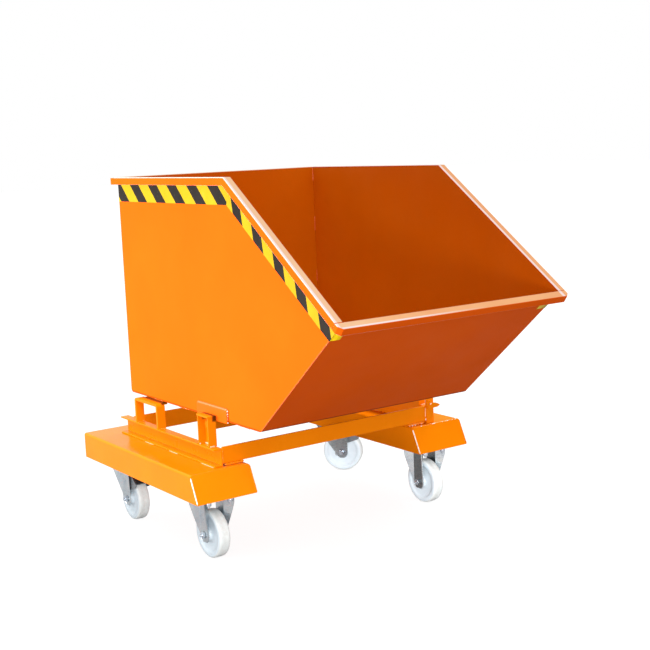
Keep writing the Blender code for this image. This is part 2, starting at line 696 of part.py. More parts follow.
def leg_levels(z_top, swivel):
    """Wings grow from their narrowest at the axle to full width under the top;
    the rear edge of a swivel leg also leans back from the axle to its kingpin."""
    levels = []
    for z in [z_top, z_top - 10 * MM] + LEG_HEIGHTS:
        grow = max(0.0, min(1.0, (z - 74 * MM) / (110 * MM))) ** 0.85
        if swivel:
            lean = 0.66 * min(z - 80 * MM, 100 * MM)
            front_wing = max(WING_MIN, 7 * MM * grow)
            levels.append((z, 20 * MM + lean * 0.25, max(WING_MIN, 8 * MM + lean * 0.75),
                           max(WING_MIN, 14 * MM * grow), -22 * MM, front_wing, front_wing))
        else:
            wing = max(WING_MIN, 27 * MM * grow)
            levels.append((z, 25 * MM, wing, wing, -25 * MM, wing, wing))
    rear, front, widest = (20, 22, 8.0) if swivel else (25, 25, 2.2)
    for z, cut_back, wing in LEG_FOOT:
        levels.append((z, rear * MM - cut_back, min(widest * MM, wing), WING_MIN,
                       cut_back - front * MM, WING_MIN, WING_MIN))
    return levels


def stand(castor, geometry, trail=0.0, angle=None):
    """Move geometry back by the trail, turn it and stand it at the castor."""
    if angle is None:
        angle = castor.angle
    place = Matrix.Translation((castor.x, castor.y, 0)) @ Matrix.Rotation(angle, 4, "Z")
    verts, faces = geometry
    return [tuple(place @ Vector((x, y - trail, z))) for x, y, z in verts], faces


def rounded_plate(half_x, half_y, z0, z1, steps=4):
    points = []
    for sx, sy, first in ((1, 1, 0), (-1, 1, 90), (-1, -1, 180), (1, -1, 270)):
        for k in range(steps + 1):
            a = math.radians(first + 90.0 * k / steps)
            points.append((sx * (half_x - PLATE_CORNER) + PLATE_CORNER * math.cos(a),
                           sy * (half_y - PLATE_CORNER) + PLATE_CORNER * math.sin(a)))
    return prism(points, z0, z1, "z")


def fork_legs(castor, fork, levels):
    """Both legs joined to the fork, and the axle hole through them."""
    for sign in (-1, 1):
        join(fork, stand(castor, leg(sign, levels), castor.trail))
    drill(fork, castor.hub, castor.axis, AXLE_R + 0.6 * MM)


def fixed_fork(castor):
    fork = add("castor_fork_" + castor.tag,
               stand(castor, rounded_plate(*FIXED_PLATE, CASTOR_H - FIXED_PLATE_T, CASTOR_H)),
               "zinc", (castor.x, castor.y, CASTOR_H))
    fork_legs(castor, fork, leg_levels(LEG_HEAD_FIXED, False))


def swivel_plate(castor):
    """Top plate, square to the undercarriage, with a round dish below it."""
    top_centre = (castor.x, castor.y, CASTOR_H)
    plate = rounded_plate(*SWIVEL_PLATE, CASTOR_H - SWIVEL_PLATE_T, CASTOR_H)
    top = add("castor_plate_" + castor.tag, stand(castor, plate, angle=0.0), "zinc", top_centre)
    join(top, revolve(TOP_DISH, 36, (castor.x, castor.y, 0), Z_AXIS))
    drill(top, top_centre, Z_AXIS, KINGPIN_R + 0.8 * MM)


def swivel_fork(castor):
    crown_centre = (castor.x, castor.y, CROWN_Z)
    fork = add("castor_fork_" + castor.tag,
               stand(castor, revolve(CROWN, 36, (0, 0, 0), Z_AXIS)), "zinc", crown_centre)
    join(fork, stand(castor, box(*SHELF)))
    fork_legs(castor, fork, leg_levels(LEG_HEAD_SWIVEL, True))
    drill(fork, crown_centre, Z_AXIS, KINGPIN_R + 1.0 * MM, 0.03)


def kingpin(castor):
    add("kingpin_" + castor.tag, revolve(KINGPIN, 24, (castor.x, castor.y, 0), Z_AXIS),
        "zinc", (castor.x, castor.y, KINGPIN_SEAT))


def brake_pedal(castor):
    """Pressed pedal over the tread, joining two cheeks beside the tyre."""
    def part(outline, lo, hi):
        solid = prism([(y, WHEEL_R + z) for y, z in outline], lo, hi, "x")
        return stand(castor, solid, castor.trail)

    pedal = add("brake_pedal_" + castor.tag, part(BRAKE_PEDAL, -PEDAL_HALF, PEDAL_HALF),
                "zinc", castor.hub)
    for sign in (-1, 1):
        join(pedal, part(BRAKE_CHEEK, *span(sign, *CHEEK_X)))


def wheel(castor):
    section = WHEEL_SECTION + [(-along, radius) for along, radius in reversed(WHEEL_SECTION)]
    add("wheel_" + castor.tag, revolve(section, 44, castor.hub, castor.axis, closed=True),
        "nylon", castor.hub)


def axle(castor):
    """Sleeve in the wheel bore, bolt through the fork, nut on the -X side."""
    tag, hub, axis = castor.tag, castor.hub, castor.axis
    sleeve = [(-SLEEVE_HALF, SLEEVE_IN), (-SLEEVE_HALF, SLEEVE_OUT),
              (SLEEVE_HALF, SLEEVE_OUT), (SLEEVE_HALF, SLEEVE_IN)]
    add("axle_sleeve_" + tag, revolve(sleeve, 24, hub, axis, closed=True), "zinc", hub)
    face = LEG_IN + LEG_T + GAP
    bolt("axle_bolt_" + tag, hub, -axis, -face, face + AXLE_TIP, AXLE_R, AXLE_HEX,
         AXLE_HEAD, "zinc")
    nut = add("axle_nut_" + tag, hexagon(AXLE_HEX, face, face + AXLE_NUT, hub, -axis),
              "zinc", hub)
    drill(nut, hub, axis, AXLE_R + 0.5 * MM)


def build_castor(tag, x, y, swivel, angle=0.0):
    """One castor standing at (x, y); trailing towards -Y when it swivels."""
    trail = TRAIL if swivel else 0.0
    turn = Matrix.Rotation(angle, 3, "Z")
    hub = Vector((x, y, 0)) + turn @ Vector((0, -trail, WHEEL_R))
    castor = Castor(tag, x, y, angle, trail, hub, turn @ Vector(X_AXIS))
    if swivel:
        swivel_plate(castor)
        swivel_fork(castor)
        kingpin(castor)
        brake_pedal(castor)
    else:
        fixed_fork(castor)
    wheel(castor)
    axle(castor)


# ---- assembly ---------------------------------------------------------------
def centre_along_y():
    """Put the origin in the middle of the overall length."""
    front_end = rim_point(LIP_INNER + RIM + SHEET, 0.0)[0]
    shift = -(front_end + POCKET_REAR) / 2
    for obj in bpy.data.objects:
        obj.location.y += shift


clear_scene()

hopper_wrap()
side_rims()
rim_front()
rim_rear()
tapes()
tilt_tube()
cross_beams()
for side_tag, side_sign in SIDES:
    for build in (hopper_side, pivot_plate, fork_pocket, castor_mounts, rail, rest,
                  pivot_post, pivot_bolt):
        build(side_tag, side_sign)
lock_plate()
lock_lever()
lock_pin()

build_castor("front_left", -CASTOR_X, CASTOR_FRONT_Y, False)
build_castor("front_right", CASTOR_X, CASTOR_FRONT_Y, False)
build_castor("rear_left", -CASTOR_X, CASTOR_REAR_Y, True, SWIVEL_LEFT)
build_castor("rear_right", CASTOR_X, CASTOR_REAR_Y, True, SWIVEL_RIGHT)

centre_along_y()
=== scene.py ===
"""Looks of a mobile tipping skip: an open hopper on a castored undercarriage.

+Z is up and the castors stand on the floor. X runs across, left is -X. The high
rear wall of the hopper is at +Y and its sloping mouth at -Y.
"""
import json
import math

import bmesh
import bpy
from mathutils import Matrix, Vector, noise

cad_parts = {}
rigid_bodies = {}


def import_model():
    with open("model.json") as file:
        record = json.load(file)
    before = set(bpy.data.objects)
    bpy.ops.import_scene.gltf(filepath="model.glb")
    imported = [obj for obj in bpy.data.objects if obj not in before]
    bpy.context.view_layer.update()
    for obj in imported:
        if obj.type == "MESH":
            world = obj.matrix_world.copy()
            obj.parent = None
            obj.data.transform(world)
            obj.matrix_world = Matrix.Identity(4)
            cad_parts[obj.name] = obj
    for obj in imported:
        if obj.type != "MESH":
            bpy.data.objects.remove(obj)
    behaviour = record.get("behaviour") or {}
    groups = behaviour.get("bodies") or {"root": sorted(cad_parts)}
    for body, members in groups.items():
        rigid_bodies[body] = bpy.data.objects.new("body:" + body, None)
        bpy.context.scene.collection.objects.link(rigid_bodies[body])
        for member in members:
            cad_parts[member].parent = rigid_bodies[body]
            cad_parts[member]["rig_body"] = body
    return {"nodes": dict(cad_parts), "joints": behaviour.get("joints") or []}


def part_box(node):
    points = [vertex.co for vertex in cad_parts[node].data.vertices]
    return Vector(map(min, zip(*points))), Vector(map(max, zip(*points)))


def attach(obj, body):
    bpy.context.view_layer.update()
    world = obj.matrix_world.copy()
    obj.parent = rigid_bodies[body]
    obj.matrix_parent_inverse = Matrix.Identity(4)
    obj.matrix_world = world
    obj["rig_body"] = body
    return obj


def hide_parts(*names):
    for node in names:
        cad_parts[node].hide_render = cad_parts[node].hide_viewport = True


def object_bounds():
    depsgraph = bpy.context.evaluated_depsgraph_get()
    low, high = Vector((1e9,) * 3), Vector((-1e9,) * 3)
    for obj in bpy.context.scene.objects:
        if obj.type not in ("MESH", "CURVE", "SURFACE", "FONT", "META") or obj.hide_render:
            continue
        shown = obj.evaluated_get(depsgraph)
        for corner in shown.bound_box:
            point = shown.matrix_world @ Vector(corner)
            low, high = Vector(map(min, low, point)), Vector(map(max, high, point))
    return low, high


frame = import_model()
CAD_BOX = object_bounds()
NODES = frame["nodes"]
MM = 0.001

# ---------------------------------------------------------------- positions
side_low, side_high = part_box("hopper_side_right")
SIDE_OUT = side_high.x               # outer face of the hopper side
SIDE_IN = side_low.x                 # inner face
FLOOR = side_low.z                   # underside of the hopper floor
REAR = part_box("hopper_wrap")[1].y    # outer face of the rear wall
RIM_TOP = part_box("rim_rear")[1].z
SHIFT = REAR - 0.286                 # frame Y of the castor pattern's middle
KNEE = Vector((0, -0.476 + SHIFT, 1.237))    # where the level rim turns down
LIP = Vector((0, -1.035 + SHIFT, 0.842))     # foremost point of the mouth
SLOPE = (LIP - KNEE).normalized()
SLOPE_IN = Vector((0, -SLOPE.z, SLOPE.y)).normalized()     # square to it, downwards
SLOPE_END = (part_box("rim_front")[0] - KNEE).y / SLOPE.y    # length of the slope

# millimetres from the middle of the castor pattern
SIDES = (("left", -1), ("right", 1))
ENDS = (("a", -1), ("b", 1))
POCKET_X = 452.3                     # middle of a fork pocket and of its castors
CASTOR_ROWS = (("front", -311.0), ("rear", 305.0))
POST_Y = -285.0                      # middle of the front posts and of the cross tube
BASE = "undercarriage"


def at(x, y, z):
    """A point in mm from the middle of the castor pattern, on the floor."""
    return Vector((x * MM, y * MM + SHIFT, z * MM))


# ---------------------------------------------------------------- node helpers
class Graph:
    """A new material with short calls that add nodes to it."""

    def __init__(self, name):
        self.mat = bpy.data.materials.new(name)
        self.mat.use_nodes = True
        self.tree = self.mat.node_tree
        coord = self.add("ShaderNodeTexCoord")
        self.local = coord.outputs["Object"]
        self.normal = coord.outputs["Normal"]

    def fill(self, node, inputs):
        """Link or set inputs, given by name or by number."""
        for key, value in inputs.items():
            if isinstance(value, bpy.types.NodeSocket):
                self.tree.links.new(value, node.inputs[key])
            else:
                node.inputs[key].default_value = value

    def add(self, kind, inputs=None, **settings):
        node = self.tree.nodes.new(kind)
        for key, value in settings.items():
            setattr(node, key, value)
        self.fill(node, inputs or {})
        return node

    def math(self, operation, a, b=0.0, clamp=False):
        return self.add("ShaderNodeMath", {0: a, 1: b, 2: 0.0},
                        operation=operation, use_clamp=clamp).outputs[0]

    def along(self, direction, origin):
        """Distance of the shaded point from origin along direction."""
        dot = self.add("ShaderNodeVectorMath", {0: self.local, 1: tuple(direction)},
                       operation="DOT_PRODUCT")
        return self.math("SUBTRACT", dot.outputs["Value"], origin.dot(direction))

    def split(self, vector):
        parts = self.add("ShaderNodeSeparateXYZ", {0: vector})
        return [parts.outputs[axis] for axis in "XYZ"]

    def noise(self, scale, detail=4, rough=0.6, distort=0.0, stretch=None, turn=(0, 0, 0)):
        vector = self.local
        if stretch:
            vector = self.add("ShaderNodeMapping", {"Vector": vector, "Scale": stretch,
                                                    "Rotation": turn}).outputs[0]
        return self.add("ShaderNodeTexNoise", {
            "Vector": vector, "Scale": scale, "Detail": detail, "Roughness": rough,
            "Distortion": distort}).outputs["Fac"]

    def ramp(self, factor, stops):
        node = self.add("ShaderNodeValToRGB", {"Fac": factor})
        elements = node.color_ramp.elements
        while len(elements) < len(stops):
            elements.new(0.5)
        for element, (position, colour) in zip(elements, stops):
            element.position = position
            element.color = (*colour, 1)
        return node.outputs["Color"]

    def range(self, value, span, to=(0.0, 1.0)):
        """Map span onto to, clamped."""
        return self.add("ShaderNodeMapRange", {
            "Value": value, "From Min": span[0], "From Max": span[1],
            "To Min": to[0], "To Max": to[1]}).outputs["Result"]

    def mix(self, factor, a, b, blend="MIX"):
        a, b = (c if isinstance(c, bpy.types.NodeSocket) else (*c, 1) for c in (a, b))
        return self.add("ShaderNodeMix", {"Factor": factor, "A": a, "B": b},
                        data_type="RGBA", blend_type=blend).outputs["Result"]

    def bump(self, height, strength, distance, normal=None):
        inputs = {"Strength": strength, "Distance": distance, "Height": height}
        if normal is not None:
            inputs["Normal"] = normal
        return self.add("ShaderNodeBump", inputs).outputs["Normal"]

    def grain(self, scale, strength, distance, normal=None):
        """Bump from a fine, even noise."""
        return self.bump(self.noise(scale=scale, detail=2, rough=0.5), strength, distance, normal)

    def finish(self, **inputs):
        """Set the Principled inputs; an underscore stands for a space."""
        self.fill(self.tree.nodes["Principled BSDF"],
                  {key.replace("_", " "): value for key, value in inputs.items()})
        return self.mat


# ---------------------------------------------------------------- paint
# linear RGB of the shaded drift, the base and the light drift
HOPPER = ((0.76, 0.098, 0.0035), (0.80, 0.106, 0.0040), (0.82, 0.116, 0.0046))
# the faces inside the hopper take a darker copy of the hopper paint: painted shade
INSIDE_SHADED = ((0.62, 0.116, 0.0006), (0.66, 0.125, 0.0008), (0.70, 0.135, 0.0010))
FRAME_TONE = ((0.78, 0.190, 0.0010), (0.84, 0.212, 0.0014), (0.88, 0.236, 0.0020))


def dust_film(net, colour):
    film = net.range(net.noise(scale=5.0, detail=6, rough=0.7), (0.42, 0.72), to=(0.0, 0.06))
    return net.mix(film, colour, (0.50, 0.20, 0.05))


def hem_shade(net, colour):
    """The lower cut edge of the hopper sheets catches no light."""
    z = net.split(net.local)[2]
    low = net.range(z, (FLOOR + 0.0066, FLOOR + 0.0040), to=(0.0, 0.66))
    return net.mix(low, colour, (0.20, 0.030, 0.002))


def contact_shade(net, colour):
    """The frame is dark where it comes close to the hopper floor."""
    x, _, z = net.split(net.add("ShaderNodeNewGeometry").outputs["Position"])
    close = net.range(z, (FLOOR - 0.0110, FLOOR - 0.0040))
    under = net.range(net.math("ABSOLUTE", x), (SIDE_OUT + 0.0240, SIDE_OUT + 0.0170),
                      to=(0.0, 0.93))
    near = net.math("MULTIPLY", close, under, clamp=True)
    return net.mix(near, colour, (0.030, 0.012, 0.004))


def painted_fill_inside(net, colour):
    """Painted light inside: the coat is made lighter low down and towards the rear, to fill the
    shade of that corner, and stays deeper towards the mouth."""
    x, y, z = net.split(net.local)
    y = net.math("SUBTRACT", y, SHIFT)

    def gain(base, per_y, per_z, across, limits):
        """Gain of one channel; its logarithm is linear in the place, within limits."""
        power = net.math("ADD", net.math("MULTIPLY", y, per_y), base)
        power = net.math("ADD", power, net.math("MULTIPLY", z, per_z))
        power = net.math("ADD", power, net.range(x, (0.0, SIDE_IN), to=(-across, 0.0)))
        return net.math("POWER", math.e, net.range(power, limits, to=limits))

    red = gain(base=0.455, per_y=0.217, per_z=-0.429, across=0.054, limits=(-0.18, 0.14))
    green = gain(base=1.215, per_y=0.489, per_z=-1.113, across=0.234, limits=(-0.30, 0.42))
    tone = net.add("ShaderNodeCombineColor", {"Red": red, "Green": green, "Blue": 1.0})
    return net.mix(1.0, colour, tone.outputs["Color"], "MULTIPLY")


def rim_sheen(net, colour):
    """Painted sheen on the upward faces of the rim, pale, most on the left towards the light, with a
    painted highlight line at the outer edge there and at the inner edge opposite."""
    x = net.split(net.local)[0]
    down_slope = net.along(SLOPE, KNEE)
    top = net.range(net.split(net.normal)[2], (0.35, 0.70))
    fade = net.range(x, (-0.30, 0.44), to=(0.90, 0.80))
    pale = net.mix(net.range(x, (-0.41, -0.25)), (1.0, 0.69, 0.42), (1.0, 0.57, 0.28))
    streak = net.range(net.noise(scale=3.0, stretch=(1.0, 0.4, 0.4)), (0.3, 0.7), to=(0.82, 1.12))
    amount = net.math("MULTIPLY", net.math("MULTIPLY", top, fade), streak, clamp=True)
    colour = net.mix(amount, colour, pale)
    # painted highlight lines at the edges: a mask, then its strength
    left = net.range(x, (-(SIDE_OUT + 0.0150), -(SIDE_OUT + 0.0175)))
    left = net.math("MULTIPLY", left, 0.95)
    from_inner = net.math("ABSOLUTE", net.math("SUBTRACT", x, SIDE_IN + 0.0035))
    right = net.math("MULTIPLY", net.range(from_inner, (0.0064, 0.0048)), 0.90)
    end = SLOPE_END - 0.0075
    front = net.math("MULTIPLY", net.range(down_slope, (end - 0.0015, end)),
                     net.range(x, (-0.20, 0.10), to=(0.9, 0.0)))
    line = net.math("MAXIMUM", net.math("MAXIMUM", left, right), front)
    return net.mix(net.math("MULTIPLY", line, top, clamp=True), colour, (1.0, 0.84, 0.84))


def paint_material(name, tones, rough, scuff, spec, ior, wave=0.0, coat=0.0,
                   shine=(1.0, 0.45, 0.04), effects=()):
    """Semi-gloss powder coat: orange peel, faint colour drift, fine scratches of
    strength scuff and, on big panels, the slow waviness of thin sheet. The
    effects recolour it in turn."""
    net = Graph(name)
    drift = net.noise(scale=2.3)
    speck = net.noise(scale=95.0, detail=3)
    colour = net.ramp(drift, list(zip((0.30, 0.52, 0.75), tones)))
    colour = net.mix(net.range(speck, (0.35, 0.75), to=(0.0, 0.16)), colour, tones[0])
    # long fine scratches in two directions
    first = net.noise(scale=7.0, detail=6, rough=0.75, stretch=(1.0, 14.0, 5.0),
                      turn=(0.35, 0.2, 0.5))
    second = net.noise(scale=9.0, detail=6, rough=0.75, stretch=(12.0, 1.2, 9.0),
                       turn=(0.9, -0.3, -0.4))
    scratch = net.math("MAXIMUM", net.range(first, (0.700, 0.735)),
                       net.range(second, (0.705, 0.735)))
    scratch = net.math("MULTIPLY", scratch, scuff, clamp=True)
    colour = net.mix(scratch, colour, (0.93, 0.36, 0.09))
    for effect in effects:
        colour = effect(net, colour)
    smudge = net.noise(scale=6.5, detail=5, rough=0.62)
    dull = net.range(smudge, (0.3, 0.72), to=(rough - 0.06, rough + 0.10))
    dull = net.math("ADD", dull, net.math("MULTIPLY", scratch, 0.25))    # scratches are duller
    normal = net.grain(scale=420.0, strength=0.22, distance=0.0006)      # orange peel
    normal = net.grain(scale=1300.0, strength=0.06, distance=0.0003, normal=normal)
    normal = net.bump(scratch, strength=0.12, distance=0.0004, normal=normal)
    if wave:
        swell = net.noise(scale=3.1, detail=2, rough=0.4, distort=0.4)
        normal = net.bump(swell, strength=0.5, distance=wave, normal=normal)
    return net.finish(Base_Color=colour, Roughness=dull, Normal=normal, Specular_IOR_Level=spec,
                      IOR=ior, Specular_Tint=(*shine, 1.0), Coat_Weight=coat, Coat_Roughness=0.08)


# ---------------------------------------------------------------- other materials
def zinc_material(name, tint, rough=0.30, side_shade=None):
    """Bright zinc plate: passivation drift, bluish patches, grime, rolling grain. Faces square to
    the axle can be given a darker tone by the last argument, painted shade standing in for the dark
    reflection they show."""
    net = Graph(name)
    shaded = [c * gain for c, gain in zip(tint, (0.80, 0.84, 0.88))]
    light = [c * gain for c, gain in zip(tint, (1.14, 1.13, 1.10))]
    base = net.ramp(net.noise(scale=22.0), [(0.3, shaded), (0.5, tint), (0.72, light)])
    blue = net.range(net.noise(scale=9.0, detail=3), (0.52, 0.75), to=(0.0, 0.5))
    base = net.mix(blue, base, (0.52, 0.62, 0.74))
    grime = net.range(net.noise(scale=48.0, detail=6, rough=0.72), (0.60, 0.80), to=(0.0, 0.5))
    base = net.mix(grime, base, (0.27, 0.27, 0.26))
    # painted shade on the faces square to the axle
    if side_shade:
        facing = net.math("ABSOLUTE", net.split(net.normal)[0])
        base = net.mix(net.range(facing, (0.80, 0.95), to=(0.0, 0.92)), base, side_shade)
    grain = net.noise(scale=60.0, stretch=(1, 1, 16))
    dull = net.range(grain, (0.3, 0.7), to=(rough - 0.07, rough + 0.10))
    dull = net.math("ADD", dull, net.math("MULTIPLY", grime, 0.3))       # grime is duller
    normal = net.bump(grain, strength=0.10, distance=0.0004)
    normal = net.grain(scale=700.0, strength=0.12, distance=0.0002, normal=normal)
    return net.finish(Base_Color=base, Metallic=0.92, Roughness=dull, Normal=normal)


def nylon_material(name):
    """White moulded polyamide, a little translucent, with floor grime in the tread.
    The axle runs along the local X."""
    net = Graph(name)
    _, y, z = net.split(net.local)
    radius = net.math("SQRT", net.math("ADD", net.math("MULTIPLY", y, y),
                                       net.math("MULTIPLY", z, z)))
    cloud = net.noise(scale=26.0)
    # painted shade: the side faces are coloured a little darker and bluer than the rolling surface
    face = net.ramp(cloud, [(0.3, (0.66, 0.755, 0.82)), (0.55, (0.70, 0.795, 0.86)),
                            (0.8, (0.74, 0.83, 0.885))])
    roll = net.ramp(cloud, [(0.3, (0.76, 0.81, 0.81)), (0.55, (0.81, 0.855, 0.85)),
                            (0.8, (0.85, 0.89, 0.885))])
    colour = net.mix(net.range(radius, (0.0735, 0.0765)), face, roll)
    tread = net.range(radius, (0.0768, 0.0800))
    patches = net.range(net.noise(scale=60.0, detail=6, rough=0.7), (0.42, 0.74), to=(0.0, 0.40))
    grime = net.math("MULTIPLY", tread, patches, clamp=True)
    seam = net.range(net.math("ABSOLUTE", net.math("SUBTRACT", radius, 0.0755)),
                     (0.0009, 0.0003), to=(0.0, 0.35))
    colour = net.mix(seam, colour, (0.50, 0.52, 0.50))
    colour = net.mix(grime, colour, (0.50, 0.45, 0.38))
    patches = net.range(net.noise(scale=90.0, detail=5, rough=0.7), (0.4, 0.75), to=(0.0, 0.5))
    hub_dirt = net.math("MULTIPLY", net.range(radius, (0.030, 0.022)), patches, clamp=True)
    colour = net.mix(hub_dirt, colour, (0.42, 0.43, 0.42))
    rings = net.math("SINE", net.math("MULTIPLY", radius, 5200.0))       # turning marks
    normal = net.bump(rings, strength=0.06, distance=0.0002)
    normal = net.bump(net.noise(scale=300.0, detail=3), strength=0.10, distance=0.0003,
                      normal=normal)
    dull = net.range(net.noise(scale=35.0), (0.3, 0.7), to=(0.32, 0.50))
    dull = net.math("ADD", dull, net.math("MULTIPLY", grime, 0.25))      # grime is duller
    return net.finish(Base_Color=colour, Roughness=dull, Normal=normal, Subsurface_Weight=0.12,
                      Subsurface_Radius=(0.006, 0.006, 0.006), Subsurface_Scale=0.5)


STRIPE_PITCH = 0.1357                # a yellow and a black stripe, along the strip
STRIPE_BLACK = 0.0660                # the black part of it
STRIPE_START_LEVEL = 0.0525          # first black stripe, from the rear edge
STRIPE_START_SLOPE = -0.0145         # first black stripe, from the knee


def tape_material(name):
    """Yellow and black warning film; the stripes are counted along the strip."""
    net = Graph(name)
    x, y, z = net.split(net.local)

    def phase(run, drop, start):
        """Place in the stripes, which lean at 45 degrees."""
        return net.math("SUBTRACT", net.math("SUBTRACT", run, drop), start)

    # level length: run forwards from the rear edge, drop from the rim
    level_drop = net.math("SUBTRACT", RIM_TOP, z)
    level = phase(net.math("SUBTRACT", REAR, y), level_drop, STRIPE_START_LEVEL)
    # slope: run from the knee, drop square to the rim
    slope_drop = net.along(SLOPE_IN, KNEE)
    slope = phase(net.along(SLOPE, KNEE), slope_drop, STRIPE_START_SLOPE)
    # the length whose rim is nearer sets the stripes
    on_slope = net.math("GREATER_THAN", level_drop, net.math("ADD", slope_drop, 0.0))
    place = net.add("ShaderNodeMix", {"Factor": on_slope, "A": level, "B": slope},
                    data_type="FLOAT").outputs["Result"]
    black = net.math("LESS_THAN", net.math("FLOORED_MODULO", place, STRIPE_PITCH), STRIPE_BLACK)
    # the film turned onto the front sheet is all yellow, and painted brighter to fill the shade on
    # that sheet
    wrapped = net.math("LESS_THAN", net.math("ABSOLUTE", x), SIDE_OUT - 0.0005)
    black = net.math("MULTIPLY", black, net.math("SUBTRACT", 1.0, wrapped))
    fade = net.noise(scale=14.0, detail=5, rough=0.65)
    bright = net.math("MULTIPLY", wrapped, 0.9)
    yellow = net.ramp(fade, [(0.3, (0.44, 0.285, 0.006)), (0.6, (0.50, 0.325, 0.008)),
                             (0.85, (0.54, 0.36, 0.02))])
    yellow = net.mix(bright, yellow, (1.0, 0.70, 0.010))
    dark = net.ramp(fade, [(0.3, (0.012, 0.010, 0.009)), (0.7, (0.022, 0.017, 0.015))])
    colour = net.mix(black, yellow, dark)
    dirt = net.range(net.noise(scale=70.0, detail=6, rough=0.72), (0.62, 0.80), to=(0.0, 0.35))
    colour = net.mix(dirt, colour, (0.30, 0.24, 0.13))
    dull = net.range(net.noise(scale=40.0), (0.3, 0.7), to=(0.30, 0.46))
    normal = net.grain(scale=900.0, strength=0.10, distance=0.0002)
    ripple = net.noise(scale=24.0, detail=3, rough=0.5, distort=0.6)
    normal = net.bump(ripple, strength=0.16, distance=0.0012, normal=normal)
    normal = net.bump(black, strength=0.15, distance=0.0002, normal=normal)
    return net.finish(Base_Color=colour, Roughness=dull, Normal=normal, Specular_IOR_Level=0.30,
                      IOR=1.20, Specular_Tint=(1.0, 0.85, 0.6, 1.0))


def seal_material(name):
    """Near-black, dull and finely grained."""
    net = Graph(name)
    cloud = net.noise(scale=80.0)
    colour = net.ramp(cloud, [(0.3, (0.012, 0.013, 0.014)), (0.7, (0.035, 0.036, 0.037))])
    return net.finish(Base_Color=colour, Roughness=net.range(cloud, (0.3, 0.7), to=(0.45, 0.65)),
                      Normal=net.grain(scale=500.0, strength=0.15, distance=0.0002))


def weld_material(name, tones, light=0.0, glow=(1.0, 0.80, 0.62)):
    """Painted weld bead: the same coat over ripples, lightened towards glow as a painted highlight.
    """
    net = Graph(name)
    cloud = net.noise(scale=130.0)
    base = net.ramp(cloud, [(0.3, tones[0]), (0.6, tones[2]), (0.85, (0.95, 0.42, 0.13))])
    if light:
        base = net.mix(light, base, glow)
    ripple = net.noise(scale=380.0, detail=3)
    return net.finish(Base_Color=base, Roughness=net.range(cloud, (0.3, 0.7), to=(0.16, 0.30)),
                      Normal=net.bump(ripple, strength=0.25, distance=0.0008), Coat_Weight=0.5,
                      Coat_Roughness=0.06, Specular_Tint=(1.0, 0.7, 0.4, 1.0))


PAINT_PANEL = paint_material("paint_panel", HOPPER, rough=0.40, scuff=0.10, spec=0.35, ior=1.07,
                             wave=0.010, effects=(hem_shade,))
PAINT_INNER = paint_material("paint_inner", INSIDE_SHADED, rough=0.42, scuff=0.25, spec=0.3, ior=1.2,
                             wave=0.006, effects=(dust_film, painted_fill_inside))
PAINT_PLATE = paint_material("paint_plate", HOPPER, rough=0.34, scuff=0.16, spec=0.4, ior=1.22)
PAINT_FRAME = paint_material("paint_frame", FRAME_TONE, rough=0.28, scuff=0.20, spec=0.4,
                             ior=1.25, shine=(1.0, 0.55, 0.06), effects=(contact_shade,))
PAINT_POCKET = paint_material("paint_pocket", FRAME_TONE, rough=0.17, scuff=0.28, spec=0.5,
                              ior=1.25, wave=0.003, coat=0.02, shine=(1.0, 0.60, 0.05))
PAINT_FAR = paint_material("paint_pocket_far", FRAME_TONE, rough=0.30, scuff=0.28, spec=0.12,
                           ior=1.10, wave=0.003, shine=(1.0, 0.55, 0.04))
PAINT_RIM = paint_material("paint_rim", HOPPER, rough=0.28, scuff=0.18, spec=0.4, ior=1.06,
                           effects=(rim_sheen,))
ZINC = zinc_material("zinc_fork", tint=(0.52, 0.58, 0.615))
# a lighter copy of the fork zinc with painted shade on its flat faces: painted light and shade on
# the front right fork
ZINC_FAR_LIT_SHADED = zinc_material("zinc_fork_far_lit_shaded", rough=0.26, tint=(0.84, 0.93, 0.97),
                         side_shade=(0.17, 0.19, 0.195))
ZINC_SHADE = zinc_material("zinc_fork_shade", rough=0.26, tint=(0.36, 0.40, 0.415))
ZINC_BOLT = zinc_material("zinc_bolt", rough=0.20, tint=(0.74, 0.80, 0.87))
ZINC_DARK = zinc_material("zinc_brake", rough=0.34, tint=(0.27, 0.30, 0.32))
TAPE = tape_material("warning_film")
SEAL = seal_material("dark_seal")
WELD = weld_material("weld_bead", HOPPER)
# the pink, pale and bright beads are lightened: painted highlights on their welds
WELD_PINK = weld_material("weld_soft", HOPPER, light=0.50, glow=(1.0, 0.27, 0.10))
WELD_FRAME = weld_material("weld_frame", FRAME_TONE)
WELD_PALE = weld_material("weld_pale", FRAME_TONE, light=0.45)
WELD_BRIGHT = weld_material("weld_bright", FRAME_TONE, light=0.92, glow=(1.0, 0.93, 0.84))

# ---------------------------------------------------------------- CAD pieces
# material and edge rounding in mm, by whole name
FINISH_BY_NAME = {
    "fork_pocket_right": (PAINT_FAR, 1.2),
    "pocket_end_right": (PAINT_FAR, 1.2),
    "castor_fork_front_right": (ZINC_FAR_LIT_SHADED, 0.8),
    "castor_fork_rear_right": (ZINC_SHADE, 0.8),
}
# otherwise by the first prefix that fits; the empty one takes the rest
FINISH_BY_PREFIX = (
    ("hopper_", PAINT_PANEL, 0.9), ("rim_", PAINT_RIM, 2.2), ("tape_", TAPE, 0.0),
    ("pivot_plate", PAINT_PLATE, 1.0),
    (("fork_pocket", "pocket_end"), PAINT_POCKET, 1.2),
    ("castor_mount", PAINT_FRAME, 1.0), ("brake_pedal", ZINC_DARK, 0.7),
    (("castor_", "axle_sleeve"), ZINC, 0.8), (("axle_", "kingpin"), ZINC_BOLT, 0.5),
    (("pivot_bolt", "lock_pin"), PAINT_FRAME, 0.5), ("", PAINT_FRAME, 1.1),
)
HOLLOW = at(0, -250, 850)            # a point in the middle of the hopper


def finish_of(name):
    if name in FINISH_BY_NAME:
        return FINISH_BY_NAME[name]
    return next((mat, width) for prefix, mat, width in FINISH_BY_PREFIX
                if name.startswith(prefix))


